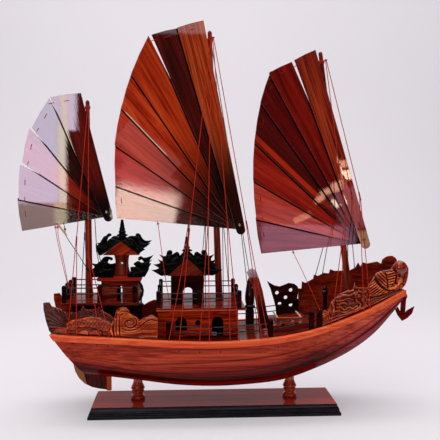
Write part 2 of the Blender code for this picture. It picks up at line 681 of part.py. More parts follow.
def mast_radius(name, z):
    """The mast's radius at a height."""
    _, foot_z, _, head_z, thick, thin = MASTS[name]
    return thick + (thin - thick) * (z - foot_z) / (head_z - foot_z)


def masts():
    """Three tapered masts with rounded heads."""
    for name, (foot_x, foot_z, head_x, head_z, thick, thin) in MASTS.items():
        length = math.dist((foot_x, foot_z), (head_x, head_z))
        profile = ((thick, 0.0), (thin + 0.2, length - thin), (thin * 0.7, length - thin * 0.3),
                   (thin * 0.2, length))
        turned(f"mast_{name}", profile, (foot_x, 0.0, foot_z), MAROON, (head_x, 0.0, head_z), 14)


def outer_skin(points):
    """The convex outline round some points, anticlockwise."""
    ordered = sorted(set(points))
    chains = []
    for run in (ordered, ordered[::-1]):
        chain = []
        for point in run:
            while len(chain) > 1 and (
                (chain[-1][0] - chain[-2][0]) * (point[1] - chain[-2][1])
                - (chain[-1][1] - chain[-2][1]) * (point[0] - chain[-2][0])
            ) <= 0:
                chain.pop()
            chain.append(point)
        chains.append(chain[:-1])
    return chains[0] + chains[1]


def polar(angle, distance):
    """A point at an angle aft of the vertical, as x and z from the tack pin."""
    return (-distance * math.sin(math.radians(angle)), distance * math.cos(math.radians(angle)))


def slat_outline(row, foot_radius, foot_drop):
    """One slat round its pin at 0, 0: straight edges from a round foot to the leech."""
    lead, lead_reach, trail, trail_reach = row
    corners = [polar(lead, lead_reach), polar(trail, trail_reach)]
    chord = math.dist(corners[0], corners[1])
    middle = ((corners[0][0] + corners[1][0]) / 2, (corners[0][1] + corners[1][1]) / 2)
    bulge = 1.0 + 0.02 * chord / math.hypot(*middle)
    corners.append((middle[0] * bulge, middle[1] * bulge))
    drop = polar((lead + trail) / 2, -foot_drop)
    return outer_skin(corners + circle(drop, foot_radius, 20))


def sails():
    """Three fan sails. The first slat of each is fixed, and the others turn on its tack pin."""
    for name, (pin_x, pin_z, peg_z, slats) in SAILS.items():
        count = len(slats)
        for order, row in enumerate(slats):
            back = SAIL_BACK_Y - (count - 1 - order) * SLAT_PITCH
            front = back - SLAT
            tone = SLAT_TONES[order % len(SLAT_TONES)]
            at = (pin_x, 0.0, pin_z)
            if order:
                outline = slat_outline(row, FOOT_RADIUS, 0.0)
                board(f"{name}_slat_{order + 1}", outline, front, back, tone,
                      holes=[circle((0.0, 0.0), TACK_HOLE, 12)], at=at)
                continue
            outline = slat_outline(row, FIRST_FOOT_RADIUS, FIRST_FOOT_DROP)
            slat = board("slat", outline, front, back, tone, at=at)
            rear = SAIL_BACK_Y + GAP
            profile = ((2.2, 0.0), (2.2, 1.5), (TACK_PIN, 1.55), (TACK_PIN, rear - front + 1.5),
                       (2.6, rear - front + 1.55), (2.6, rear - front + 3.2))
            pin = turned("pin", profile, (0.0, front - 1.5, 0.0), tone, (0.0, rear + 9.0, 0.0), 12)
            pin.location = slat.location
            peg_x = mast_point(name, peg_z)
            reach = -mast_radius(name, peg_z) - GAP
            peg = turned("peg", ((1.5, 0.0), (1.5, reach - back + 0.5)),
                         (peg_x - pin_x, back - 0.5, peg_z - pin_z), tone,
                         (peg_x - pin_x, 20.0, peg_z - pin_z), 10)
            peg.location = slat.location
            fused(f"{name}_slat_1", [slat, pin, peg])


def stay_foot(mast, side, x):
    """Where a strand is made fast: on the rail, or on top of the port bow board."""
    if mast != "fore" or side < 0:
        return (x, side * (half_breadth(x) + STAY_OUT), rail_top(x) + 0.9)
    for before, after in zip(PORT_BOW, PORT_BOW[1:]):
        if before[0] <= x <= after[0]:
            share = (x - before[0]) / (after[0] - before[0])
            top = before[2] + (after[2] - before[2]) * share
    return (x, side * (half_breadth(x) - BOARD_INSET), top + 0.6)


def shrouds():
    """The main stays of each mast: threads from a lashing near its head to the rail."""
    # Columns: mast, height of the lashing, then for each thread the x and z of its join
    # and the two x where its strands meet the rail.
    table = (
        ("mizzen", 496.0, ((-217.0, 283.0, -230.0, -216.0), (-198.0, 262.0, -180.0, -164.0))),
        ("main", 606.0, ((-42.0, 296.0, -73.0, -57.0), (-12.5, 298.0, -26.0, -11.0),
                              (18.5, 306.0, 21.0, 35.0), (48.5, 308.0, 70.0, 80.0))),
        ("fore", 572.0, ((207.0, 320.0, 181.0, 193.0), (231.0, 352.0, 236.0, 247.0))),
    )
    for mast, height, runs in table:
        x = mast_point(mast, height)
        radius = mast_radius(mast, height) + GAP + 0.4
        count = len(SAILS[mast][3])
        front = SAIL_BACK_Y - (count - 1) * SLAT_PITCH - SLAT - 1.9
        lashing = board("lashing", circle((x, 0.0), radius + 1.5), height - 2.5, height + 2.5, THREAD,
                        holes=[circle((x, 0.0), radius, 16)], plane="XY")
        pieces = [lashing, thread("turn", [(x + 3.4, -radius + 0.2, height + 0.3),
                                           (x + 3.0, front, height + 0.1)], 0.9, THREAD)]
        for side in (-1, 1):
            knot = Vector((x + 3.0, front, height) if side < 0 else (x, radius + 2.2, height))
            wide = 0.9 + 0.63 * len(runs)
            pieces.append(thread("knot", [knot - Vector((wide, 0, 0)), knot + Vector((wide, 0, 0))],
                                 1.3, THREAD, 8))
            for order, (join_x, join_z, *feet) in enumerate(runs):
                start = knot + Vector(((order - (len(runs) - 1) / 2) * 1.26, 0.0, -0.2))
                share = (height - join_z) / (height - rail_top(join_x))
                spread = start.y + (side * (half_breadth(join_x) + 7.0) - start.y) * share
                join = Vector((join_x, spread, join_z))
                up = (start - join).normalized()
                pieces.append(thread("stay", [start, join + up * 4.0], 0.55, THREAD))
                pieces.append(thread("sleeve", [join - up * 5.0, join + up * 8.0], 1.35, THREAD, 8))
                for foot, aside in zip(feet, (-0.64, 0.64)):
                    inside = join + up + Vector((aside, 0.0, 0.0))
                    pieces.append(thread("strand", [inside, stay_foot(mast, side, foot)],
                                         0.45, THREAD))
        fused(f"shrouds_{mast}", pieces)


def main():
    for old in list(bpy.data.objects):
        bpy.data.objects.remove(old)
    plinth()
    pedestals()
    hull()
    deck()
    rail_cap()
    rudder()
    anchor()
    bow_boards()
    stern_boards()
    poop()
    aft_cabin()
    midships()
    main_deck_fittings()
    masts()
    sails()
    shrouds()


main()
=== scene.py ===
"""Finishes for a varnished rosewood display model of a three-masted junk.

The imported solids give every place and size. This script lays wood, lacquer and thread over them:
a faired hull, bevelled boards, carved bow and stern boards, turned pieces, laid thread and stitches.
All lengths are in metres, in the frame's own axes: +X to the bow, +Y to port, +Z up.
"""

import json
import logging
import math
from dataclasses import dataclass, field, replace
from enum import Enum
from typing import Callable, Iterable, Sequence

import bmesh
import bpy
import numpy as np
from mathutils import Matrix, Vector
from mathutils.geometry import delaunay_2d_cdt

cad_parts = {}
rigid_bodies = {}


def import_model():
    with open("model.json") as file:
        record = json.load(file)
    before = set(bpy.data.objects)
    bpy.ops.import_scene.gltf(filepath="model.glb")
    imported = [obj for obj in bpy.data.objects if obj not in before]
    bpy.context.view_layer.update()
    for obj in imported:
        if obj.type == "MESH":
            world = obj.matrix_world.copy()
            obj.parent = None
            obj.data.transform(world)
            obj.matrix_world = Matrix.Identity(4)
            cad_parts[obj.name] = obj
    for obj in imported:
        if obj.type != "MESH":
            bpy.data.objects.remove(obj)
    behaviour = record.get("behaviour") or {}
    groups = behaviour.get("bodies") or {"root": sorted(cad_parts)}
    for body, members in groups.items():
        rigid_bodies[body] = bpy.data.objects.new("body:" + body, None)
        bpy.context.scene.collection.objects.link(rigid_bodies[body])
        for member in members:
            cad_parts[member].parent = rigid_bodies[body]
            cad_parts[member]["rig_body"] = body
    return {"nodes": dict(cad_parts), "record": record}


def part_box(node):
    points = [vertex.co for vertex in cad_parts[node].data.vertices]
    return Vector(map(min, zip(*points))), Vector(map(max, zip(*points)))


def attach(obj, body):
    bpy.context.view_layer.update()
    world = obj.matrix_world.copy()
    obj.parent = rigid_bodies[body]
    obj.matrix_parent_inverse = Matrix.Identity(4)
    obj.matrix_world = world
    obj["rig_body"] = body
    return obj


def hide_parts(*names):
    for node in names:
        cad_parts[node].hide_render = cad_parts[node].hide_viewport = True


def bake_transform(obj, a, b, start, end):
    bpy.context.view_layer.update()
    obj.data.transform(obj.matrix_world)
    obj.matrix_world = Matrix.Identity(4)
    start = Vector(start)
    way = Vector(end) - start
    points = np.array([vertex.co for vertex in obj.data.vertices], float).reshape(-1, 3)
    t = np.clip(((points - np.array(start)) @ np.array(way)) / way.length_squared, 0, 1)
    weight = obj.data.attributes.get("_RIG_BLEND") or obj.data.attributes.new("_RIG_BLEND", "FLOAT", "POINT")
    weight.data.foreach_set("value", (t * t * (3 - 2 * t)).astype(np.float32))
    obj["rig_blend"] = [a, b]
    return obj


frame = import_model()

LOG = logging.getLogger("junk_model")
MM = 0.001
SHIP = "ship"

Colour = tuple[float, float, float]
Point2 = tuple[float, float]
Point3 = tuple[float, float, float]
Stops = Sequence[tuple[float, Colour]]
Strokes = Sequence[tuple[Sequence[Point2], float, float]]
Domes = Sequence[tuple[Point2, float, float]]
Socket = bpy.types.NodeSocket
Piece = bpy.types.Object
Build = bmesh.types.BMesh
# What a socket takes: another node's output or a plain value.
Value = Socket | float | Sequence[float] | str | bool


class Side(Enum):
    """A side of the ship, as the sign of its Y."""

    STARBOARD = -1
    PORT = 1

    @property
    def word(self) -> str:
        """The side's name as the nodes spell it."""
        return self.name.lower()


class Lie(Enum):
    """Which way the grain runs in a piece, as a direction."""

    FORE_AND_AFT = (1.0, 0.0)
    UPRIGHT = (0.0, 1.0)


# Finishes


class Nodes:
    """A node tree being built, with short calls to add and join its nodes."""

    def __init__(self, tree: bpy.types.NodeTree) -> None:
        """Starts on a tree.

        Args:
            tree: the tree that the nodes are added to.
        """
        self.tree = tree

    def put(self, socket: Socket, value: Value) -> None:
        """Sets a socket's value, or joins another node's output to it."""
        if isinstance(value, Socket):
            self.tree.links.new(value, socket)
        else:
            socket.default_value = value

    def add(self, kind: str, inputs: dict | None = None, **settings) -> bpy.types.Node:
        """Adds a node.

        Args:
            kind: the node's Blender type.
            inputs: socket values or sockets to join, by socket name or index.
            settings: properties of the node itself.

        Returns:
            The new node.
        """
        node = self.tree.nodes.new(kind)
        for name, value in settings.items():
            setattr(node, name, value)
        for name, value in (inputs or {}).items():
            self.put(node.inputs[name], value)
        return node

    def math(self, operation: str, *values: Value) -> Socket:
        """Adds a math node and returns its value."""
        return self.add("ShaderNodeMath", dict(enumerate(values)), operation=operation).outputs[0]


class Shader(Nodes):
    """A material being built round one Principled shader, over the object's own coordinates."""

    # Places of a colour mix's sockets: the two colours, and the result.
    mix_colours = (6, 7)
    mix_result = 2

    def __init__(self, name: str) -> None:
        """Starts the material.

        Args:
            name: its name.
        """
        self.material = bpy.data.materials.new(name)
        self.material.use_nodes = True
        super().__init__(self.material.node_tree)
        self.surface = self.tree.nodes["Principled BSDF"]
        self.coordinates = self.add("ShaderNodeTexCoord").outputs["Object"]

    def lay(self, label: str, value: Value) -> None:
        """Sets one of the surface's inputs, or joins a node's output to it."""
        self.put(self.surface.inputs[label], value)

    def attribute(self, name: str) -> Socket:
        """Reads one of the mesh's attributes."""
        return self.add("ShaderNodeAttribute", attribute_name=name).outputs["Fac"]

    def ramp(self, factor: Socket, stops: Stops) -> Socket:
        """Adds a colour ramp.

        Args:
            factor: what drives the ramp.
            stops: place and colour of each stop, in order.

        Returns:
            The ramp's colour.
        """
        node = self.add("ShaderNodeValToRGB", {"Fac": factor})
        elements = node.color_ramp.elements
        while len(elements) < len(stops):
            elements.new(0.5)
        for element, (place, colour) in zip(elements, stops):
            element.position = place
            element.color = (*colour, 1.0)
        return node.outputs["Color"]

    def weighted(self, *parts: tuple[Socket, float]) -> Socket:
        """Adds up some values, each multiplied by its weight."""
        total, *rest = [self.math("MULTIPLY", value, weight) for value, weight in parts]
        for part in rest:
            total = self.math("ADD", total, part)
        return total

    def blend(self, factor: Value, first: Value, second: Value, mode: str = "MIX") -> Socket:
        """Adds a colour mix and returns its colour."""
        node = self.add("ShaderNodeMix", {0: factor}, data_type="RGBA", blend_type=mode)
        for place, colour in zip(self.mix_colours, (first, second)):
            self.put(node.inputs[place],
                     colour if isinstance(colour, Socket) else (*colour, 1.0))
        return node.outputs[self.mix_result]

    def noise(self, vector: Socket, detail: float, rough: float, warp: float = 0.0, scale: float = 1.0
              ) -> Socket:
        """Adds a noise texture and returns its value."""
        return self.add("ShaderNodeTexNoise", {
            "Vector": vector, "Scale": scale, "Detail": detail, "Roughness": rough, "Distortion": warp,
        }).outputs["Fac"]

    def stretched(self, lie: Point2, along: float, across: float, shift: float = 0.0) -> Socket:
        """Coordinates whose unit is one grain feature, laid along a direction in the XZ plane.

        Args:
            lie: x and z of the grain's direction.
            along: a feature's length along the grain, in metres.
            across: its width, in metres.
            shift: how far the pattern is moved, so that pieces differ.

        Returns:
            The new coordinates.
        """
        turn = math.atan2(-lie[1], lie[0])
        return self.add("ShaderNodeMapping", {
            "Vector": self.coordinates, "Location": (shift, shift * 0.37, shift * 0.71),
            "Rotation": (0.0, turn, 0.0), "Scale": (along, across, across),
        }, vector_type="TEXTURE").outputs["Vector"]

    def step(self, value: Socket, low: float, high: float) -> Socket:
        """Adds a soft step that is 0 at low and 1 at high, whichever of them is greater."""
        first, last = (0.0, 1.0) if low < high else (1.0, 0.0)
        return self.add("ShaderNodeMapRange", {
            "Value": value, "From Min": min(low, high), "From Max": max(low, high), "To Min": first,
            "To Max": last}, interpolation_type="SMOOTHSTEP").outputs["Result"]

    def vector(self, operation: str, first: Value, second: Value, output: str = "Value") -> Socket:
        """Adds a vector math node and returns one of its outputs."""
        return self.add("ShaderNodeVectorMath", {0: first, 1: second}, operation=operation).outputs[output]

    def distance(self, point: Point3) -> Socket:
        """Adds each point's distance from a fixed point."""
        return self.vector("DISTANCE", self.coordinates, point)

    def bump(self, height: Socket, strength: float, depth: float, *labels: str) -> None:
        """Adds a bump and joins it to some of the surface's inputs.

        Args:
            height: the height that it follows.
            strength: how much of it shows.
            depth: its depth in metres.
            labels: the surface's inputs.
        """
        node = self.add("ShaderNodeBump", {"Height": height, "Strength": strength, "Distance": depth})
        for label in labels:
            self.lay(label, node.outputs["Normal"])

    def finish(self, roughness: float, gloss: float, coat: float, coat_roughness: float,
               coat_index: float = 1.5) -> bpy.types.Material:
        """Sets the surface's plain values.

        Args:
            roughness: how matt the surface is.
            gloss: its specular level.
            coat: how much clear coat there is, where no node says so.
            coat_roughness: how matt the coat is.
            coat_index: the coat's index of refraction.

        Returns:
            The material.
        """
        for label, value in (("Roughness", roughness), ("IOR", 1.5), ("Specular IOR Level", gloss),
                             ("Coat Weight", coat), ("Coat Roughness", coat_roughness),
                             ("Coat IOR", coat_index)):
            self.surface.inputs[label].default_value = value
        return self.material


@dataclass(frozen=True)
class Band:
    """A straight stripe of another tone on a flat piece, measured across a line in the XZ plane.

    It runs from start to end, both in metres past the point, and fades over soft. With a reach it shows
    only between two distances from the pin. A matt stripe takes the coat away too.
    """

    point: Point2
    across: Point2
    start: float
    end: float
    soft: float
    tone: Colour
    strength: float = 1.0
    pin: Point2 = (0.0, 0.0)
    reach: tuple[float, float] | None = None
    fade: float = 0.01
    matt: bool = False

    def share(self, shader: Shader) -> Socket:
        """How much of the stripe shows at each point.

        Args:
            shader: the material that it is part of.

        Returns:
            A value from 0 to the stripe's strength.
        """
        away = shader.vector("SUBTRACT", shader.coordinates, (self.point[0], 0.0, self.point[1]), "Vector")
        measure = shader.vector("DOT_PRODUCT", away, (self.across[0], 0.0, self.across[1]))
        value = shader.math("MULTIPLY", shader.step(measure, self.start - self.soft, self.start),
                            shader.step(measure, self.end + self.soft, self.end))
        if self.reach is not None:
            far = shader.distance((self.pin[0], 0.0, self.pin[1]))
            low, high = self.reach
            within = shader.math("MULTIPLY", shader.step(far, low, low + self.fade),
                                 shader.step(far, high, high - self.fade))
            value = shader.math("MULTIPLY", value, within)
        return shader.math("MULTIPLY", value, self.strength)


@dataclass(frozen=True)
class VarnishedWood:
    """Rosewood or its kin under clear varnish, with veins, fibres and a slight orange peel.

    A vein's length and width are in metres. The foot is a point round which painted shade darkens the wood,
    between the two distances of its reach. Three switches turn on tones that follow the mesh's own
    attributes:
    painted shade in a carving's hollows with painted highlight on its ridges; a darker tone on parts of a
    carving, which also carries painted shade along a board's foot; and the hull's painted shade, sheen and
    seam lines up its girth.
    """

    name: str
    dark: Colour
    body: Colour
    light: Colour
    lie: Point2 = Lie.FORE_AND_AFT.value
    vein_long: float = 0.11
    vein_wide: float = 0.0045
    figure: float = 0.6
    shift: float = 0.0
    coat: float = 0.15
    coat_roughness: float = 0.06
    coat_index: float = 1.5
    orange_peel: float = 0.04
    pits: float = 0.0
    foot: Point3 | None = None
    foot_reach: tuple[float, float] = (0.05, 0.13)
    foot_tone: Colour = (0.05, 0.05, 0.05)
    bands: tuple[Band, ...] = ()
    hollows: bool = False
    stain: Colour | None = None
    girth: tuple[tuple[float, Colour], ...] = ()

    def grain(self, shader: Shader) -> tuple[Socket, Socket]:
        """Builds the wood's figure.

        Args:
            shader: the material that it is part of.

        Returns:
            The colour and the fine fibres.
        """
        broad, vein, fibre = [
            shader.noise(shader.stretched(self.lie, self.vein_long * long, self.vein_wide * wide,
                                          self.shift), *look)
            for long, wide, look in ((2.2, 5.0, (2.0, 0.5, 0.8)), (1.0, 1.0, (5.0, 0.6, self.figure)),
                                     (0.16, 0.11, (2.0, 0.6)))]
        mixed = shader.weighted((vein, 0.55), (broad, 0.33), (fibre, 0.12))
        colour = shader.ramp(mixed, ((0.40, self.dark), (0.49, self.body), (0.60, self.light)))
        return shader.blend(0.5, colour, shader.ramp(fibre, WOOD_PORES), "MULTIPLY"), fibre

    def toned(self, shader: Shader, colour: Socket) -> Socket:
        """Lays the darker tone with its painted shade, the hull's painted shade, sheen and seam lines, the
        painted shade round a foot, the stripes, and painted shade in hollows with painted highlight on
        ridges.

        Args:
            shader: the material that it is part of.
            colour: the figure's colour.

        Returns:
            The surface's colour.
        """
        # The darker tone also carries painted shade along a carved board's foot.
        if self.stain is not None:
            darkened = shader.blend(STAIN_AND_SHADE_STRENGTH, colour, self.stain)
            colour = shader.blend(shader.attribute("stain"), colour, darkened)
        # Painted shade low on the hull and painted sheen higher up and at the bow, with dark seam lines.
        if self.girth:
            place = shader.attribute("girth")
            forward = shader.step(shader.distance(STERN_POINT), *BOW_REACH)
            tone = shader.blend(forward, shader.ramp(place, self.girth), shader.ramp(place, BOW_SHEEN_AND_SEAMS))
            colour = shader.blend(1.0, colour, tone, "MULTIPLY")
        # Painted shade round the foot.
        if self.foot is not None:
            shade = shader.ramp(shader.step(shader.distance(self.foot), *self.foot_reach),
                                ((0.0, self.foot_tone), (1.0, (1.0, 1.0, 1.0))))
            colour = shader.blend(1.0, colour, shade, "MULTIPLY")
        gloss = None
        for band in self.bands:
            share = band.share(shader)
            colour = shader.blend(share, colour, band.tone)
            if band.matt:
                bare = shader.math("SUBTRACT", 1.0, share)
                gloss = bare if gloss is None else shader.math("MULTIPLY", gloss, bare)
        if gloss is not None:
            shader.lay("Coat Weight", shader.math("MULTIPLY", gloss, self.coat))
        # Painted shade in the hollows and painted highlight on the ridges.
        if self.hollows:
            shade = shader.ramp(shader.attribute("relief"), WOOD_HOLLOW_SHADE_AND_RIDGE_HIGHLIGHT)
            colour = shader.blend(1.0, colour, shade, "MULTIPLY")
        return colour

    def build(self) -> bpy.types.Material:
        """Builds the wood's nodes and returns the material."""
        shader = Shader(self.name)
        colour, fibre = self.grain(shader)
        shader.lay("Base Color", self.toned(shader, colour))
        shader.bump(fibre, 0.22, 0.0002, "Normal")
        fine = shader.noise(shader.coordinates, 2.0, 0.6, 0.0, DUST_SCALE)
        brushed = shader.noise(shader.stretched(self.lie, 0.012, 0.0016), 2.0, 0.5, 0.3)
        skin = shader.weighted((fine, 0.4), (brushed, 0.6))
        if self.pits:
            specks = shader.step(shader.noise(shader.coordinates, 1.0, 0.5, 0.0, DUST_SCALE), 0.60, 0.68)
            skin = shader.weighted((skin, 0.5), (specks, self.pits))
        shader.bump(skin, self.orange_peel, 0.0006, "Coat Normal")
        return shader.finish(WOOD_ROUGHNESS, 0.0, self.coat, self.coat_roughness, self.coat_index)


@dataclass(frozen=True)
class Lacquer:
    """Opaque lacquer over wood: nearly one colour, with a soft wave from the brush."""

    name: str
    colour: Colour
    worn: Colour
    coat: float
    coat_roughness: float
    hollows: bool = False

    def build(self) -> bpy.types.Material:
        """Builds the lacquer's nodes and returns the material."""
        shader = Shader(self.name)
        lie = Lie.FORE_AND_AFT.value
        cloud = shader.noise(shader.stretched(lie, 0.03, 0.008), 4.0, 0.6, 0.5)
        colour = shader.ramp(cloud, ((0.46, self.colour), (0.72, self.worn)))
        # Painted shade in the carving's hollows and painted highlight on its ridges and edges.
        if self.hollows:
            shade = shader.ramp(shader.attribute("relief"), LACQUER_HOLLOW_SHADE_AND_RIDGE_HIGHLIGHT)
            colour = shader.blend(1.0, colour, shade, "MULTIPLY")
        shader.lay("Base Color", colour)
        brush = shader.noise(shader.stretched(lie, 0.02, 0.0012), 3.0, 0.6)
        shader.bump(brush, 0.22, 0.0004, "Normal", "Coat Normal")
        return shader.finish(LACQUER_ROUGHNESS, 0.0, self.coat, self.coat_roughness)


@dataclass(frozen=True)
class Twine:
    """Dyed cotton thread: matt, with fuzz and paler fibres where it catches light."""

    name: str
    colour: Colour
    frayed: Colour

    def build(self) -> bpy.types.Material:
        """Builds the thread's nodes and returns the material."""
        shader = Shader(self.name)
        fuzz = shader.noise(shader.coordinates, 3.0, 0.7, 0.0, 700.0)
        shader.lay("Base Color", shader.ramp(fuzz, ((0.40, self.colour), (0.70, self.frayed))))
        shader.bump(fuzz, 0.5, 0.0003, "Normal")
        return shader.finish(0.8, 0.1, 0.0, 0.1)


@dataclass(frozen=True)
class Wire:
    """Drawn steel under a dark wash."""

    name: str
    colour: Colour
    bright: Colour
    roughness: float

    def build(self) -> bpy.types.Material:
        """Builds the steel's nodes and returns the material."""
        shader = Shader(self.name)
        wash = shader.noise(shader.coordinates, 3.0, 0.6, 0.0, 240.0)
        shader.lay("Base Color", shader.ramp(wash, ((0.40, self.colour), (0.66, self.bright))))
        shader.bump(wash, 0.2, 0.0002, "Normal")
        shader.lay("Metallic", 0.7)
        return shader.finish(self.roughness, 0.5, 0.0, 0.1)


@dataclass(frozen=True)
class Backdrop:
    """The pale cloth that the model stands on, which is lit a little from behind."""

    name: str
    colour: Colour
    glow: Colour

    def build(self) -> bpy.types.Material:
        """Builds the cloth's nodes and returns the material."""
        shader = Shader(self.name)
        shader.lay("Emission Color", (*self.glow, 1.0))
        shader.lay("Emission Strength", 1.0)
        cloud = shader.noise(shader.coordinates, 2.0, 0.5, 0.0, 1.6)
        dim, pale = [tuple(value * share for value in self.colour) for share in (0.97, 1.02)]
        shader.lay("Base Color", shader.ramp(cloud, ((0.3, dim), (0.7, pale))))
        return shader.finish(1.0, 0.0, 0.0, 0.5)


Finish = VarnishedWood | Lacquer | Twine | Wire | Backdrop


class Finishes:
    """Every finish of the model, each built once and kept by its name."""

    def __init__(self) -> None:
        """Starts with nothing built."""
        self.built: dict[str, bpy.types.Material] = {}

    def get(self, finish: Finish) -> bpy.types.Material:
        """Returns the material of a finish, building it the first time."""
        if finish.name not in self.built:
            self.built[finish.name] = finish.build()
        return self.built[finish.name]


FINISHES = Finishes()
# Painted shade in a carving's hollows and painted highlight on its ridges, by its depth; and tones by the
# fibres of the wood.
WOOD_HOLLOW_SHADE_AND_RIDGE_HIGHLIGHT = (
    (0.12, (0.02, 0.01, 0.01)), (0.44, (0.34, 0.24, 0.22)), (0.60, (1.0, 1.0, 1.0)), (0.90, (1.5, 1.8, 2.0)))
LACQUER_HOLLOW_SHADE_AND_RIDGE_HIGHLIGHT = ((0.25, (0.3, 0.3, 0.3)), (0.6, (1.0, 1.0, 1.0)), (0.9, (3.0, 3.6, 3.0)))
WOOD_PORES = ((0.30, (0.45, 0.45, 0.45)), (0.46, (1.0, 1.0, 1.0)))
STAIN_AND_SHADE_STRENGTH = 0.85
WOOD_ROUGHNESS = 0.4
LACQUER_ROUGHNESS = 0.38
# Specks of dust under the varnish, for each metre.
DUST_SCALE = 620.0


def seamed(stops: Stops, seams: Sequence[float], half: float, shade: float
           ) -> tuple[tuple[float, Colour], ...]:
    """Cuts dark lines into a row of tones.

    Args:
        stops: place and tone of each stop, in order.
        seams: where the lines are.
        half: half a line's width.
        shade: the line's tone as a share of the tone beside it.

    Returns:
        The stops with the lines among them.
    """
    places = [place for place, _ in stops]
    tones = np.array([tone for _, tone in stops])
    made = list(stops)
    for seam in seams:
        tone = [float(np.interp(seam, places, tones[:, channel])) for channel in range(3)]
        made += [(seam - half, tuple(tone)), (seam, tuple(value * shade for value in tone)),
                 (seam + half, tuple(tone))]
    return tuple(sorted(made, key=lambda stop: stop[0]))


# The hull's tones up its girth: painted shade low down and just under the cap, a painted pinkish sheen higher
# up, and dark seam lines.
HULL_SHADE_SHEEN_AND_SEAMS = seamed(((0.30, (0.10, 0.05, 0.10)), (0.37, (0.13, 0.05, 0.08)), (0.42, (0.24, 0.06, 0.08)),
                     (0.50, (0.36, 0.08, 0.10)), (0.55, (0.22, 0.05, 0.06)), (0.61, (0.09, 0.02, 0.03)),
                     (0.67, (0.09, 0.03, 0.05)), (0.71, (0.28, 0.16, 0.32)), (0.75, (0.26, 0.16, 0.38)),
                     (0.79, (0.40, 0.32, 0.60)), (0.82, (0.62, 0.60, 0.85)), (0.86, (0.80, 0.84, 0.95)),
                     (0.91, (0.92, 1.15, 1.15)), (0.96, (0.84, 0.95, 1.10)), (1.0, (0.60, 0.60, 0.70))),
                    (0.695, 0.775, 0.885), 0.012, 0.30)
# The bow's painted sheen, bright lengthwise reflections with dark seam lines between them, which takes over
# between two distances from the stern.
BOW_SHEEN_AND_SEAMS = (
    (0.30, (0.50, 0.70, 2.6)), (0.56, (0.56, 0.80, 3.0)), (0.585, (0.40, 0.20, 0.5)),
    (0.605, (0.20, 0.04, 0.05)), (0.625, (0.26, 0.08, 0.10)), (0.65, (0.64, 0.80, 2.6)),
    (0.70, (0.85, 1.40, 3.8)), (0.74, (1.03, 2.0, 4.6)), (0.775, (1.0, 1.3, 2.0)), (0.80, (0.75, 0.25, 0.2)),
    (0.815, (0.78, 0.30, 0.3)), (0.84, (1.15, 2.1, 3.9)), (0.93, (1.16, 2.2, 4.0)), (0.965, (1.3, 2.4, 3.6)),
    (0.985, (0.6, 0.8, 1.0)), (1.0, (0.6, 0.8, 1.0)))
STERN_POINT = (-0.26, 0.0, 0.10)
BOW_REACH = (0.41, 0.50)
HULL_WOOD = VarnishedWood(
    "hull_wood", (0.26, 0.016, 0.006), (0.49, 0.038, 0.012), (0.64, 0.070, 0.026), vein_long=0.55,
    vein_wide=0.0030, figure=0.4, coat=0.22, coat_roughness=0.08, girth=HULL_SHADE_SHEEN_AND_SEAMS)
CAP_WOOD = VarnishedWood(
    "cap_wood", (0.68, 0.070, 0.018), (0.84, 0.115, 0.034), (0.92, 0.17, 0.06), vein_long=0.50,
    vein_wide=0.003, figure=0.3, coat=0.3)
DECK_WOOD = VarnishedWood(
    "deck_wood", (0.03, 0.003, 0.002), (0.11, 0.009, 0.004), (0.22, 0.022, 0.009), vein_long=0.12,
    vein_wide=0.004, coat=0.35, coat_roughness=0.10)
CABIN_WOOD = VarnishedWood(
    "cabin_wood", (0.02, 0.002, 0.002), (0.14, 0.010, 0.004), (0.38, 0.038, 0.012), vein_long=0.05,
    vein_wide=0.0026, figure=1.2, coat=0.08)
TOWER_WOOD = VarnishedWood(
    "tower_wood", (0.05, 0.005, 0.004), (0.22, 0.026, 0.014), (0.40, 0.06, 0.03), lie=Lie.UPRIGHT.value,
    vein_long=0.05, vein_wide=0.002)
HOUSE_WOOD = VarnishedWood(
    "house_wood", (0.03, 0.002, 0.002), (0.28, 0.014, 0.004), (0.70, 0.075, 0.016), vein_long=0.05,
    vein_wide=0.0018, figure=1.5, coat=0.08)
EAVE_WOOD = VarnishedWood("eave_wood", (0.16, 0.008, 0.004), (0.30, 0.016, 0.006), (0.42, 0.038, 0.012))
EDGE_WOOD = VarnishedWood(
    "edge_wood", (0.05, 0.003, 0.002), (0.14, 0.010, 0.005), (0.26, 0.028, 0.011), coat=0.45)
UPPER_DECK_WOOD = replace(EDGE_WOOD, name="upper_deck_wood", bands=(
    Band((0.0, 0.1779), (0.0, 1.0), -1.0, 0.0, 0.0004, (0.66, 0.09, 0.03)),))
PALE_EDGE = VarnishedWood(
    "pale_edge_wood", (0.30, 0.19, 0.10), (0.50, 0.36, 0.22), (0.66, 0.52, 0.36), vein_wide=0.001)
DARK_WOOD = VarnishedWood(
    "dark_wood", (0.003, 0.001, 0.002), (0.014, 0.002, 0.002), (0.050, 0.006, 0.004), coat=0.12)
# Near-black wood for the houses set back under the decks and roofs: painted shade.
SHADED_ROOM_WOOD = VarnishedWood(
    "room_wood", (0.003, 0.001, 0.001), (0.010, 0.002, 0.002), (0.030, 0.004, 0.003), coat=0.05)
MAST_WOOD = VarnishedWood(
    "mast_wood", (0.04, 0.003, 0.002), (0.13, 0.009, 0.005), (0.32, 0.035, 0.012), lie=Lie.UPRIGHT.value,
    vein_long=0.2, vein_wide=0.0024, coat=0.6)
TURNED_WOOD = VarnishedWood(
    "turned_wood", (0.24, 0.016, 0.006), (0.46, 0.045, 0.012), (0.66, 0.11, 0.03), lie=Lie.UPRIGHT.value,
    vein_long=0.05, vein_wide=0.003, coat=0.9, coat_roughness=0.04)
ROOF_WOOD = VarnishedWood(
    "roof_wood", (0.10, 0.007, 0.002), (0.25, 0.020, 0.005), (0.42, 0.048, 0.012), lie=(0.86, 0.5),
    vein_long=0.05, vein_wide=0.0030)
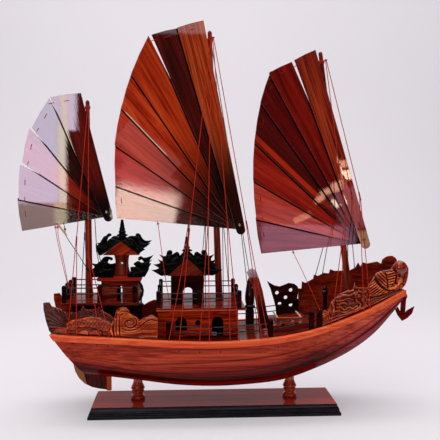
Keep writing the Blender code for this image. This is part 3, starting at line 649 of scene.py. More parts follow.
PAVILION_ROOF_WOOD = VarnishedWood(
    "pavilion_roof_wood", (0.06, 0.005, 0.003), (0.14, 0.014, 0.007), (0.24, 0.032, 0.014), lie=(0.86, 0.5),
    vein_long=0.05, vein_wide=0.003)
CARVED_WOOD = VarnishedWood(
    "carved_wood", (0.18, 0.012, 0.004), (0.40, 0.048, 0.011), (0.72, 0.16, 0.042), vein_long=0.07,
    vein_wide=0.003, coat=0.55, coat_roughness=0.06, orange_peel=0.02, hollows=True,
    stain=(0.055, 0.004, 0.004))
# The port boards' copy of the carved wood, darker all over: painted shade.
CARVED_SHADED_WOOD = VarnishedWood(
    "carved_dark_wood", (0.08, 0.004, 0.002), (0.25, 0.017, 0.006), (0.42, 0.042, 0.012), vein_long=0.09,
    vein_wide=0.0032, figure=0.9, coat=0.3, hollows=True, stain=(0.10, 0.010, 0.006))
KNOB_WOOD = VarnishedWood(
    "knob_wood", (0.12, 0.006, 0.003), (0.30, 0.022, 0.008), (0.48, 0.07, 0.022), vein_long=0.03, coat=0.9,
    coat_roughness=0.03, coat_index=1.7)
POST_WOOD = VarnishedWood(
    "post_wood", (0.004, 0.001, 0.001), (0.018, 0.002, 0.002), (0.07, 0.006, 0.005), lie=Lie.UPRIGHT.value,
    vein_long=0.05, coat=0.5)
# The pale band over the ladder's head is a painted highlight; the ladder darkens towards its foot with
# painted shade.
LADDER_HEAD_HIGHLIGHT = Band((0.0, 0.2262), (0.0, 1.0), 0.0, 1.0, 0.005, (0.50, 0.42, 0.46), 0.9)
LADDER_WOOD = VarnishedWood(
    "ladder_wood", (0.10, 0.005, 0.003), (0.27, 0.022, 0.014), (0.46, 0.08, 0.06), lie=Lie.UPRIGHT.value,
    vein_long=0.08, coat=0.6, foot=(0.080, -0.035, 0.135), foot_reach=(0.03, 0.085),
    foot_tone=(0.10, 0.05, 0.05), bands=(LADDER_HEAD_HIGHLIGHT,))
ANCHOR_WOOD = VarnishedWood("anchor_wood", (0.06, 0.002, 0.002), (0.12, 0.004, 0.003), (0.19, 0.009, 0.006))
PLINTH_TOP = VarnishedWood(
    "plinth_top_wood", (0.42, 0.026, 0.018), (0.56, 0.040, 0.028), (0.66, 0.060, 0.042), vein_long=0.30,
    vein_wide=0.004, coat=0.35, coat_roughness=0.05, orange_peel=0.015)
RUDDER_BANDS = (
    Band((-0.2174, 0.0706), (0.966, 0.259), -0.1, 0.0, 0.0015, (0.36, 0.15, 0.045)),
    Band((-0.1765, 0.0), (1.0, 0.0), 0.0, 0.1, 0.0008, (0.58, 0.085, 0.014)))
RUDDER_WOOD = VarnishedWood(
    "rudder_wood", (0.008, 0.002, 0.003), (0.030, 0.004, 0.006), (0.12, 0.010, 0.006), lie=Lie.UPRIGHT.value,
    vein_long=0.05, figure=0.9, bands=RUDDER_BANDS)
BLACK_LACQUER = Lacquer(
    "black_lacquer", (0.001, 0.0015, 0.001), (0.003, 0.004, 0.003), coat=0.14, coat_roughness=0.07,
    hollows=True)
PLINTH_LACQUER = Lacquer("plinth_lacquer", (0.004, 0.003, 0.005), (0.016, 0.013, 0.019), 0.30, 0.2)
RED_TWINE = Twine("red_twine", (0.42, 0.012, 0.006), (0.64, 0.050, 0.024))
BLACK_TWINE = Twine("black_twine", (0.022, 0.008, 0.007), (0.07, 0.032, 0.028))
MAROON_TWINE = Twine("maroon_twine", (0.20, 0.008, 0.007), (0.34, 0.03, 0.02))
STEEL_WIRE = Wire("steel_wire", (0.010, 0.010, 0.014), (0.045, 0.044, 0.058), 0.5)
PIN_STEEL = Wire("pin_steel", (0.20, 0.18, 0.18), (0.50, 0.46, 0.46), 0.25)
BAMBOO = VarnishedWood(
    "bamboo", (0.42, 0.22, 0.05), (0.62, 0.36, 0.09), (0.78, 0.52, 0.18), lie=(0.6, -0.8), vein_long=0.02,
    vein_wide=0.0012, coat=0.3)
PALE_CLOTH = Backdrop("pale_cloth", (0.50, 0.482, 0.505), (0.305, 0.295, 0.315))


# Shapes

# The least angle in degrees of an arris that is rounded, and the most between the parts of a flat face.
ARRIS_ANGLE = 32.0
FLAT_ANGLE = 0.6
WELD_GAP = 2e-6


def placed(name: str, data: bpy.types.ID) -> Piece:
    """Sets a new object into the scene, at the origin."""
    piece = bpy.data.objects.new(name, data)
    bpy.context.scene.collection.objects.link(piece)
    return piece


def mesh_piece(name: str, build: Build, crease: float = 35.0) -> Piece:
    """Turns a bmesh into an object at the origin, smooth but for its creases.

    Args:
        name: the piece's name.
        build: the shape, which is freed.
        crease: the angle in degrees past which an edge stays sharp.

    Returns:
        The new object.
    """
    mesh = bpy.data.meshes.new(name)
    build.to_mesh(mesh)
    build.free()
    mesh.shade_smooth()
    mesh.set_sharp_from_angle(angle=math.radians(crease))
    return placed(name, mesh)


def plain(piece: Piece) -> Piece:
    """Turns a piece's modifiers into plain mesh and keeps its shading."""
    graph = bpy.context.evaluated_depsgraph_get()
    mesh = bpy.data.meshes.new_from_object(piece.evaluated_get(graph), preserve_all_data_layers=True,
                                           depsgraph=graph)
    piece.modifiers.clear()
    piece.data = mesh
    return piece


def settled(piece: Piece, crease: float = 35.0) -> Piece:
    """Turns a piece's modifiers into plain mesh, smooth but for its creases."""
    plain(piece)
    piece.data.shade_smooth()
    piece.data.set_sharp_from_angle(angle=math.radians(crease))
    return piece


def eased(piece: Piece, width: float, steps: int = 2) -> Piece:
    """Rounds a piece's arrises and keeps its faces looking flat.

    Args:
        piece: the piece.
        width: how far the rounding reaches from each arris.
        steps: its facets.

    Returns:
        The same piece.
    """
    bevel = piece.modifiers.new("arris", "BEVEL")
    bevel.width = width
    bevel.segments = steps
    bevel.limit_method = "ANGLE"
    bevel.angle_limit = math.radians(ARRIS_ANGLE)
    bevel.use_clamp_overlap = True
    settled(piece)
    flats = piece.modifiers.new("flats", "WEIGHTED_NORMAL")
    flats.keep_sharp = True
    flats.weight = 90
    return plain(piece)


def welded(node: str) -> Build:
    """A node's solid as one joined shape with its flat faces whole."""
    build = bmesh.new()
    build.from_mesh(frame["nodes"][node].data)
    bmesh.ops.remove_doubles(build, verts=build.verts, dist=WELD_GAP)
    bmesh.ops.dissolve_limit(build, angle_limit=math.radians(FLAT_ANGLE), verts=build.verts,
                             edges=build.edges)
    return build


def slot_of(node: str) -> str:
    """The record's material slot of a node."""
    for part in frame["record"]["subparts"]:
        if part["node"] == node:
            return part["material_slot"]
    raise KeyError(node)


def body_of(node: str) -> str:
    """The body that a node moves with."""
    return frame["nodes"][node]["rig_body"]


def coated(piece: Piece, finish: Finish) -> None:
    """Gives a piece one finish all over."""
    piece.data.materials.clear()
    piece.data.materials.append(FINISHES.get(finish))


def dressed(piece: Piece, finish: Finish, body: str, slot: str,
            replaced: Sequence[str] = ()) -> Piece:
    """Gives a finished piece its material, its body and the nodes that it stands for.

    Args:
        piece: the finished piece.
        finish: its finish.
        body: the body that it rides on.
        slot: the record's slot of its finish; not used.
        replaced: the nodes that it replaces.

    Returns:
        The same piece.
    """
    coated(piece, finish)
    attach(piece, body)
    if replaced:
        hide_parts(*replaced)
    LOG.info("%s: %d faces on %s", piece.name, len(piece.data.polygons), body)
    return piece


def refined(node: str, finish: Finish, width: float, steps: int = 2) -> Piece:
    """A node's own solid with its arrises rounded, in its place.

    Args:
        node: the node.
        finish: its finish.
        width: the rounding of its arrises.
        steps: facets of the rounding.

    Returns:
        The new piece.
    """
    piece = eased(mesh_piece(f"{node}_finished", welded(node)), width, steps)
    return dressed(piece, finish, body_of(node), slot_of(node), [node])


def round_spot(radius: float, angle: float, rise: float = 0.0) -> Vector:
    """A point at an angle round the Z axis."""
    return Vector((radius * math.cos(angle), radius * math.sin(angle), rise))


def lathe(profile: Sequence[Point2], foot: Vector, head: Vector, sides: int) -> Build:
    """A turned shape.

    Args:
        profile: radius and distance from the foot, in order up the axis.
        foot: the axis's start.
        head: a point further along the axis.
        sides: facets round the axis.

    Returns:
        The closed shape.
    """
    turn = (head - foot).normalized().to_track_quat("Z", "Y").to_matrix()
    angles = [2 * math.pi * step / sides for step in range(sides)]
    build = bmesh.new()
    loop_faces(build, [[foot + turn @ round_spot(radius, angle, rise) for angle in angles]
                       for radius, rise in profile])
    return build


def turned(node: str, profile: Sequence[Point2], tip: float, steps: int, sides: int, finish: Finish) -> None:
    """Builds a turned piece in place of a node, from the node's foot to its head.

    Args:
        node: the node.
        profile: radius and height above the foot of each point, in millimetres.
        tip: the radius at the head.
        steps: pieces between two points of the profile.
        sides: facets round the axis.
        finish: its finish.
    """
    low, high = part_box(node)
    middle = (low + high) / 2
    foot = Vector((middle.x, middle.y, low.z))
    curve = smooth_path((*profile, (tip, (high.z - low.z) / MM)), steps)
    build = lathe([(p.x * MM, p.y * MM) for p in curve], foot, foot + Vector((0.0, 0.0, 1.0)), sides)
    dressed(mesh_piece(f"{node}_turned", build, 50.0), finish, SHIP, slot_of(node), [node])


def smooth_path(points: Sequence[Sequence[float]], steps: int) -> list[Vector]:
    """A curve through some points.

    Args:
        points: the points, two or three numbers each.
        steps: pieces between each pair.

    Returns:
        The curve's points, the given ones among them.
    """
    known = [Vector(point) for point in points]
    known = [known[0] * 2 - known[1], *known, known[-1] * 2 - known[-2]]
    curve = []
    for place in range(1, len(known) - 2):
        a, b, c, d = known[place - 1:place + 3]
        for step in range(steps):
            t = step / steps
            curve.append(0.5 * ((2 * b) + (c - a) * t + (2 * a - 5 * b + 4 * c - d) * t * t
                                + (3 * b - a - 3 * c + d) * t ** 3))
    curve.append(known[-2])
    return curve


def loop_faces(build: Build, rings: Sequence[Sequence[Point3]]) -> None:
    """Lays faces between rings of points, and closes the ends.

    Args:
        build: the shape that they are added to.
        rings: the rings, with equal counts.
    """
    laid = [[build.verts.new(point) for point in ring] for ring in rings]
    count = len(rings[0])
    for low, high in zip(laid, laid[1:]):
        for step in range(count):
            after = (step + 1) % count
            build.faces.new((low[step], low[after], high[after], high[step]))
    build.faces.new(laid[0][::-1])
    build.faces.new(laid[-1])


# Geometry node trees

PLIES = 3


class Tree(Nodes):
    """A geometry node tree with named inputs, run once on an object and turned into mesh."""

    def __init__(self, name: str, inputs: Sequence[tuple[str, str]]) -> None:
        """Starts a tree.

        Args:
            name: the tree's name.
            inputs: socket type and name of each input after the geometry.
        """
        super().__init__(bpy.data.node_groups.new(name, "GeometryNodeTree"))
        face = self.tree.interface
        face.new_socket("Geometry", in_out="INPUT", socket_type="NodeSocketGeometry")
        self.sockets = {}
        for kind, label in inputs:
            self.sockets[label] = face.new_socket(label, in_out="INPUT", socket_type=kind).identifier
        face.new_socket("Geometry", in_out="OUTPUT", socket_type="NodeSocketGeometry")
        self.start = self.add("NodeGroupInput")
        self.end = self.add("NodeGroupOutput")

    def given(self, label: str) -> Socket:
        """The output of the tree's input with this name."""
        return self.start.outputs[label]

    def close(self, geometry: Socket) -> None:
        """Ends the tree in real geometry with the chosen material."""
        real = self.add("GeometryNodeRealizeInstances", {"Geometry": geometry})
        done = self.add("GeometryNodeSetMaterial", {
            "Geometry": real.outputs["Geometry"], "Material": self.given("Material")})
        self.put(self.end.inputs["Geometry"], done.outputs["Geometry"])

    def run(self, piece: Piece, **values) -> Piece:
        """Runs the tree on a piece and keeps the result as its mesh.

        Args:
            piece: the piece whose mesh the tree starts from.
            values: the inputs, by name with underscores for spaces.

        Returns:
            The same piece.
        """
        modifier = piece.modifiers.new("tree", "NODES")
        modifier.node_group = self.tree
        for label, value in values.items():
            modifier[self.sockets[label.replace("_", " ")]] = value
        return settled(piece, 50.0)


def laid_thread_tree() -> Tree:
    """The tree that lays three-ply thread along the edges of a mesh.

    Returns:
        The tree, with inputs for the radius, the length of a facet, the twist and the material.
    """
    tree = Tree("laid_thread", (
        ("NodeSocketFloat", "Radius"), ("NodeSocketFloat", "Facet"), ("NodeSocketFloat", "Lobe"),
        ("NodeSocketFloat", "Twist"), ("NodeSocketInt", "Sides"), ("NodeSocketMaterial", "Material")))
    line = tree.add("GeometryNodeMeshToCurve", {"Mesh": tree.given("Geometry")})
    even = tree.add("GeometryNodeResampleCurve", {
        "Curve": line.outputs["Curve"], "Length": tree.given("Facet")}, mode="LENGTH")
    along = tree.add("GeometryNodeSplineParameter")
    turn = tree.math("MULTIPLY", along.outputs["Length"], tree.given("Twist"))
    tilted = tree.add("GeometryNodeSetCurveTilt", {"Curve": even.outputs["Curve"], "Tilt": turn})
    ring = tree.add("GeometryNodeCurvePrimitiveCircle", {
        "Resolution": tree.given("Sides"), "Radius": tree.given("Radius")}, mode="RADIUS")
    place = tree.add("GeometryNodeSplineParameter")
    wave = tree.math("COSINE", tree.math("MULTIPLY", place.outputs["Factor"], PLIES * 2 * math.pi))
    swell = tree.math("MULTIPLY_ADD", wave, tree.given("Lobe"), 1.0)
    spot = tree.add("GeometryNodeInputPosition")
    grown = tree.add("ShaderNodeVectorMath", {0: spot.outputs[0], "Scale": swell}, operation="SCALE")
    ply = tree.add("GeometryNodeSetPosition", {
        "Geometry": ring.outputs["Curve"], "Position": grown.outputs["Vector"]})
    tube = tree.add("GeometryNodeCurveToMesh", {
        "Curve": tilted.outputs["Curve"], "Profile Curve": ply.outputs["Geometry"], "Fill Caps": True})
    tree.close(tube.outputs["Mesh"])
    return tree


def studded_tree() -> Tree:
    """The tree that sets a copy of one small shape on each point of a mesh.

    Each point's "turn" attribute is the copy's rotation and "size" its scale.

    Returns:
        The tree, with inputs for the shape and the material.
    """
    tree = Tree("studded", (("NodeSocketObject", "Shape"), ("NodeSocketMaterial", "Material")))
    shape = tree.add("GeometryNodeObjectInfo", {"Object": tree.given("Shape")}, transform_space="ORIGINAL")
    turn = tree.add("GeometryNodeInputNamedAttribute", {"Name": "turn"}, data_type="FLOAT_VECTOR")
    size = tree.add("GeometryNodeInputNamedAttribute", {"Name": "size"}, data_type="FLOAT_VECTOR")
    spin = tree.add("FunctionNodeEulerToRotation", {"Euler": turn.outputs["Attribute"]})
    copies = tree.add("GeometryNodeInstanceOnPoints", {
        "Points": tree.given("Geometry"), "Instance": shape.outputs["Geometry"],
        "Rotation": spin.outputs["Rotation"], "Scale": size.outputs["Attribute"]})
    tree.close(copies.outputs["Instances"])
    return tree


THREAD_TREE = laid_thread_tree()
STUD_TREE = studded_tree()


def laid_thread(name: str, routes: Iterable[Sequence[Vector]], radius: float, finish: Finish,
                sides: int = 9, lobe: float = 0.16, facet: float = 2.0) -> Piece:
    """Threads along some routes, as one piece.

    Args:
        name: the piece's name.
        routes: the points of each thread.
        radius: the thread's radius.
        finish: its finish.
        sides: facets round the thread.
        lobe: how far its three plies stand out, as a share of the radius.
        facet: how long a facet is, as a share of the radius.

    Returns:
        The new piece, not yet on a body.
    """
    build = bmesh.new()
    for route in routes:
        verts = [build.verts.new(point) for point in route]
        for start, end in zip(verts, verts[1:]):
            build.edges.new((start, end))
    piece = mesh_piece(name, build)
    twist = 0.25 / radius if lobe else 0.0
    return THREAD_TREE.run(piece, Radius=radius, Facet=radius * facet, Twist=twist, Lobe=lobe,
                           Sides=sides, Material=FINISHES.get(finish))


def studded(name: str, shape: Piece, spots: Sequence[tuple[Vector, Vector, Vector]],
            finish: Finish) -> Piece:
    """Copies of one small shape, as one piece.

    Args:
        name: the piece's name.
        shape: the shape, which is used up.
        spots: place, rotation and scale of each copy.
        finish: their finish.

    Returns:
        The new piece, not yet on a body.
    """
    mesh = bpy.data.meshes.new(name)
    mesh.from_pydata([tuple(place) for place, _, _ in spots], [], [])
    for label, column in (("turn", 1), ("size", 2)):
        values = mesh.attributes.new(label, "FLOAT_VECTOR", "POINT")
        values.data.foreach_set("vector", [number for spot in spots for number in spot[column]])
    piece = placed(name, mesh)
    STUD_TREE.run(piece, Shape=shape, Material=FINISHES.get(finish))
    bpy.data.objects.remove(shape)
    return piece


# Hull


@dataclass
class Hull:
    """The carved hull, its rail cap, deck, rudder and anchor."""

    # Columns: x, half breadth at the rail, keel, top of the rail, wale, fullness, in millimetres.
    lines: tuple = (
        (-270.0, 53.0, 66.0, 138.6, 104.0, 2.6), (-216.0, 66.0, 65.0, 137.6, 101.5, 2.6),
        (-176.0, 73.0, 61.5, 137.0, 94.5, 2.5), (-120.0, 79.0, 54.5, 134.5, 85.0, 2.5),
        (-60.0, 82.5, 46.5, 131.5, 78.5, 2.5), (0.0, 84.0, 43.5, 130.2, 75.5, 2.5),
        (60.0, 83.0, 46.0, 132.8, 76.0, 2.5), (110.0, 79.0, 52.5, 137.0, 84.0, 2.6),
        (162.0, 72.0, 70.0, 147.0, 100.0, 2.8), (216.0, 62.5, 96.0, 163.0, 126.0, 3.2),
        (257.0, 53.5, 125.0, 178.0, 152.0, 3.6), (287.0, 46.5, 158.0, 192.5, 176.0, 4.0),
        (310.0, 41.0, 188.0, 203.0, 196.5, 4.0))
    bow_x: float = 306.0
    transom_foot: Point2 = (-208.8, 75.0)
    transom_head: Point2 = (-257.8, 137.0)
    strake_proud: float = 1.3
    cap_top: float = 2.7
    board_inset: float = 8.3
    deck_below_cap: float = 1.2
    stations: int = 110
    seams: tuple[tuple[float, bool], ...] = ((0.62, False), (0.90, False), (0.30, True), (0.60, True))
    seam_depth: float = 0.45
    # How far the painted shade, sheen and seam lines climb the side, by the place along the ship.
    plank_drift: tuple[Point2, ...] = (
        (-180.0, 0.12), (-85.0, 0.06), (30.0, 0.0), (135.0, -0.03), (210.0, -0.06))
    seam_half: float = 0.012
    # Clear gaps to the cap above and to the bow beam, and where the wale lies among the hull's painted shade
    # and sheen.
    cap_gap: float = 0.3
    bow_gap: float = 2.0
    wale_level: float = 0.72
    nails: tuple[float, ...] = (-221.0, -184.0, -167.0, -58.0, -26.0, 6.0, 96.0, 178.0, 252.0)

    def value(self, x: float, column: int) -> float:
        """A hull line's value at x: a smooth curve through the table's rows."""
        rows = self.lines
        place = 0
        while place < len(rows) - 2 and x > rows[place + 1][0]:
            place += 1

        def slope(row: int) -> float:
            """The line's slope at a row."""
            low, high = max(row - 1, 0), min(row + 1, len(rows) - 1)
            return (rows[high][column] - rows[low][column]) / (rows[high][0] - rows[low][0])

        span = rows[place + 1][0] - rows[place][0]
        t = (x - rows[place][0]) / span
        return ((2 * t**3 - 3 * t**2 + 1) * rows[place][column]
                + (t**3 - 2 * t**2 + t) * span * slope(place)
                + (3 * t**2 - 2 * t**3) * rows[place + 1][column]
                + (t**3 - t**2) * span * slope(place + 1))

    def half_breadth(self, x: float) -> float:
        """Half the hull's breadth at the rail."""
        return self.value(x, 1)

    def rail_top(self, x: float) -> float:
        """The height of the rail cap's top."""
        return self.value(x, 3)

    def deck_top(self, x: float) -> float:
        """The height of the main deck's top."""
        return self.rail_top(x) - self.deck_below_cap

    def transom_x(self, z: float) -> float:
        """The raked stern's place at a height."""
        rake = ((self.transom_head[0] - self.transom_foot[0])
                / (self.transom_head[1] - self.transom_foot[1]))
        return self.transom_foot[0] + (z - self.transom_foot[1]) * rake

    def girth_point(self, x: float, share: float, upper: bool) -> Point2:
        """A point of the section at x.

        Args:
            x: the section's place.
            share: 0 to 1 from the keel to the wale, or from the wale to the rail.
            upper: whether it is above the wale.

        Returns:
            Its distance from the middle and its height.
        """
        _, half, keel, top, wale, fullness = [self.value(x, column) for column in range(6)]
        top -= self.cap_top + self.cap_gap
        depth = top - keel
        wale_angle = math.acos((1.0 - (wale - keel) / depth) ** (fullness / 2.0))
        angle = wale_angle * share
        if upper:
            angle = wale_angle + (math.pi / 2 - wale_angle) * share
        breadth = half * math.sin(angle) ** (2.0 / fullness)
        height = keel + depth * (1.0 - math.cos(angle) ** (2.0 / fullness)) if angle < 1.57 else top
        return breadth + (self.strake_proud if upper else 0.0), height

    def girth(self) -> list[tuple[float, bool, float]]:
        """The rows of points round a section: share, upper and how deep the row is cut."""
        rows = [(step / 18, False, 0.0) for step in range(19)]
        rows += [(step / 10, True, 0.0) for step in range(11)]
        for share, upper in self.seams:
            rows += [(share - self.seam_half, upper, 0.0), (share, upper, self.seam_depth),
                     (share + self.seam_half, upper, 0.0)]
        rows.sort(key=lambda row: (row[1], row[0]))
        kept = []
        for row in rows:
            near = [cut for cut in self.seams if cut[1] == row[1] and abs(cut[0] - row[0]) < self.seam_half]
            if not near or row[2]:
                kept.append(row)
        return kept

    def build_shell(self) -> None:
        """Builds the faired hull with its plank seams, in place of the plain one."""
        rings = []
        for station in range(self.stations + 1):
            ring = []
            for share, upper, cut in self.girth():
                start = self.transom_x(100.0)
                for _ in range(4):
                    start = self.transom_x(self.girth_point(start, share, upper)[1])
                x = start + (self.bow_x - self.bow_gap - start) * station / self.stations
                breadth, height = self.girth_point(x, share, upper)
                inward = cut if breadth > 2 * cut else 0.0
                ring.append((x * MM, (breadth - inward) * MM, (height + 0.35 * inward) * MM))
            rings.append(ring[::-1] + [(x, -y, z) for x, y, z in ring[1:]])
        build = bmesh.new()
        loop_faces(build, rings)
        bmesh.ops.recalc_face_normals(build, faces=build.faces)
        piece = mesh_piece("hull_faired", build, 30.0)
        # Each point's place up the side, which the hull wood reads for its painted shade, sheen and seam
        # lines.
        wale = self.wale_level
        levels = [(1.0 - wale) * share + wale if upper else wale * share
                  for share, upper, _ in self.girth()]
        values = []
        for ring in rings:
            drift = float(np.interp(ring[0][0] / MM, *zip(*self.plank_drift)))
            drifted = [level + drift * min(1.0, (1.0 - level) / 0.2) for level in levels]
            values += drifted[::-1] + drifted[1:]
        shade = piece.data.attributes.new("girth", "FLOAT", "POINT")
        shade.data.foreach_set("value", values)
        dressed(piece, HULL_WOOD, SHIP, slot_of("hull"), ["hull"])

    def build_nails(self) -> None:
        """Sets a row of small dark nail heads into the strake on both sides."""
        head = mesh_piece("nail_head", lathe([(1.0 * MM, -0.3 * MM), (1.0 * MM, 0.1 * MM),
                                              (0.7 * MM, 0.35 * MM), (0.2 * MM, 0.45 * MM)],
                                             Vector(), Vector((0.0, 0.0, 1.0)), 10))
        spots = []
        for x in self.nails:
            breadth, height = self.girth_point(x, 0.84, True)
            for side in (-1, 1):
                spots.append((Vector((x, side * breadth, height)) * MM,
                              Vector((-side * math.pi / 2, 0.0, 0.0)), Vector((1.0, 1.0, 1.0))))
        dressed(studded("hull_nails", head, spots, DARK_WOOD), DARK_WOOD, SHIP, slot_of("deck"))

    def build(self) -> None:
        """Builds every piece of the hull."""
        self.build_shell()
        refined("rail_cap", CAP_WOOD, 0.5 * MM)
        self.build_nails()
        for node, finish, width in (("deck", DECK_WOOD, 0.2), ("rudder", RUDDER_WOOD, 0.5),
                                    ("anchor", ANCHOR_WOOD, 0.5)):
            refined(node, finish, width * MM)


# Carving


class Relief:
    """A height field over a carving's face, in millimetres, worked by single strokes."""

    def __init__(self, x: np.ndarray, z: np.ndarray) -> None:
        """Starts a flat field.

        Args:
            x: each point's place along the ship.
            z: each point's height.
        """
        self.x = x
        self.z = z
        self.height = np.zeros(x.shape)
        self.stain = np.zeros(x.shape)

    def apart(self, path: Sequence[Point2]) -> np.ndarray:
        """Each point's distance from a path."""
        best = np.full(self.x.shape, 1e6)
        for (ax, az), (bx, bz) in zip(path, path[1:]):
            dx, dz = bx - ax, bz - az
            span = max(dx * dx + dz * dz, 1e-9)
            share = np.clip(((self.x - ax) * dx + (self.z - az) * dz) / span, 0.0, 1.0)
            best = np.minimum(best, np.hypot(self.x - ax - share * dx, self.z - az - share * dz))
        return best

    def within(self, outline: Sequence[Point2], soft: float = 1.0) -> np.ndarray:
        """A field that is 1 inside an outline and fades to 0 at its edge.

        Args:
            outline: the outline's points.
            soft: how wide the fade is.

        Returns:
            The field.
        """
        loop = [*outline, outline[0]]
        inside = np.zeros(self.x.shape, bool)
        for (ax, az), (bx, bz) in zip(loop, loop[1:]):
            if az == bz:
                continue
            crosses = (az > self.z) != (bz > self.z)
            inside ^= crosses & (self.x < (bx - ax) * (self.z - az) / (bz - az) + ax)
        share = np.clip(self.apart(loop) / soft, 0.0, 1.0)
        return np.where(inside, share * share * (3.0 - 2.0 * share), 0.0)

    def ridge(self, path: Sequence[Point2], half: float, rise: float) -> None:
        """Raises or, with a rise below 0, cuts a rounded band along a smooth path."""
        route = [(point.x, point.y) for point in smooth_path(path, 6)] if len(path) > 2 else list(path)
        self.height += rise * np.clip(1.0 - (self.apart(route) / half) ** 2, 0.0, 1.0)

    def groove(self, path: Sequence[Point2], half: float = 0.8, depth: float = 1.2) -> None:
        """Cuts a groove along a smooth path."""
        self.ridge(path, half, -depth)

    def plate(self, outline: Sequence[Point2], rise: float, soft: float = 2.0) -> np.ndarray:
        """Raises the wood inside an outline, and returns where."""
        mask = self.within(outline, soft)
        self.height += rise * mask
        return mask

    def dome(self, centre: Point2, radius: float, rise: float) -> None:
        """Raises a round knob."""
        away = np.hypot(self.x - centre[0], self.z - centre[1]) / radius
        self.height += rise * np.sqrt(np.clip(1.0 - away * away, 0.0, 1.0))

    def rays(self, mask: np.ndarray, hub: Point2, spacing: float, rise: float, bend: float = 0.0) -> None:
        """Carves ribs that spread from a hub.

        Args:
            mask: where the ribs are.
            hub: where they would meet.
            spacing: the angle between two ribs in degrees.
            rise: their height.
            bend: how many degrees a rib turns in each millimetre.
        """
        angle = np.degrees(np.arctan2(self.z - hub[1], self.x - hub[0]))
        angle += bend * np.hypot(self.x - hub[0], self.z - hub[1])
        self.height += rise * mask * (0.5 + 0.5 * np.cos(np.radians(angle * 360.0 / spacing))) ** 0.7

    def strands(self, mask: np.ndarray, lean: float, pitch: float, rise: float, sway: float = 0.0) -> None:
        """Carves side by side ribs that run at an angle.

        Args:
            mask: where the ribs are.
            lean: their direction in degrees above +X.
            pitch: their spacing.
            rise: their height.
            sway: how far they wander sideways.
        """
        turn = math.radians(lean)
        along = self.x * math.cos(turn) + self.z * math.sin(turn)
        across = self.z * math.cos(turn) - self.x * math.sin(turn) + sway * np.sin(along / 9.0)
        self.height += rise * mask * (0.5 + 0.5 * np.cos(across * 2.0 * math.pi / pitch)) ** 0.7

    def scales(self, mask: np.ndarray, pitch: float, rise: float) -> None:
        """Carves staggered round scales."""
        best = np.full(self.x.shape, 1e6)
        row_height = pitch * 0.78
        base = np.round(self.z / row_height)
        for step in (-1, 0, 1):
            row = base + step
            shift = (row % 2) * 0.5
            column = np.round(self.x / pitch - shift) + shift
            best = np.minimum(best, np.hypot(self.x - column * pitch, self.z - row * row_height))
        self.height += rise * mask * np.sqrt(np.clip(1.0 - (best / (0.62 * pitch)) ** 2, 0.0, 1.0))

    def cavity(self, passes: int = 6) -> np.ndarray:
        """How far each point stands above its surroundings, as 0 to 1 with 0.5 level. Needs a grid."""
        blurred = self.height.copy()
        for _ in range(passes):
            for axis in (0, 1):
                padded = np.pad(blurred, [(1, 1) if axis == a else (0, 0) for a in (0, 1)], mode="edge")
                ahead = np.take(padded, range(2, padded.shape[axis]), axis)
                behind = np.take(padded, range(0, padded.shape[axis] - 2), axis)
                blurred = 0.5 * blurred + 0.25 * (ahead + behind)
        return np.clip(0.56 + (self.height - blurred) * 0.75, 0.0, 1.0)


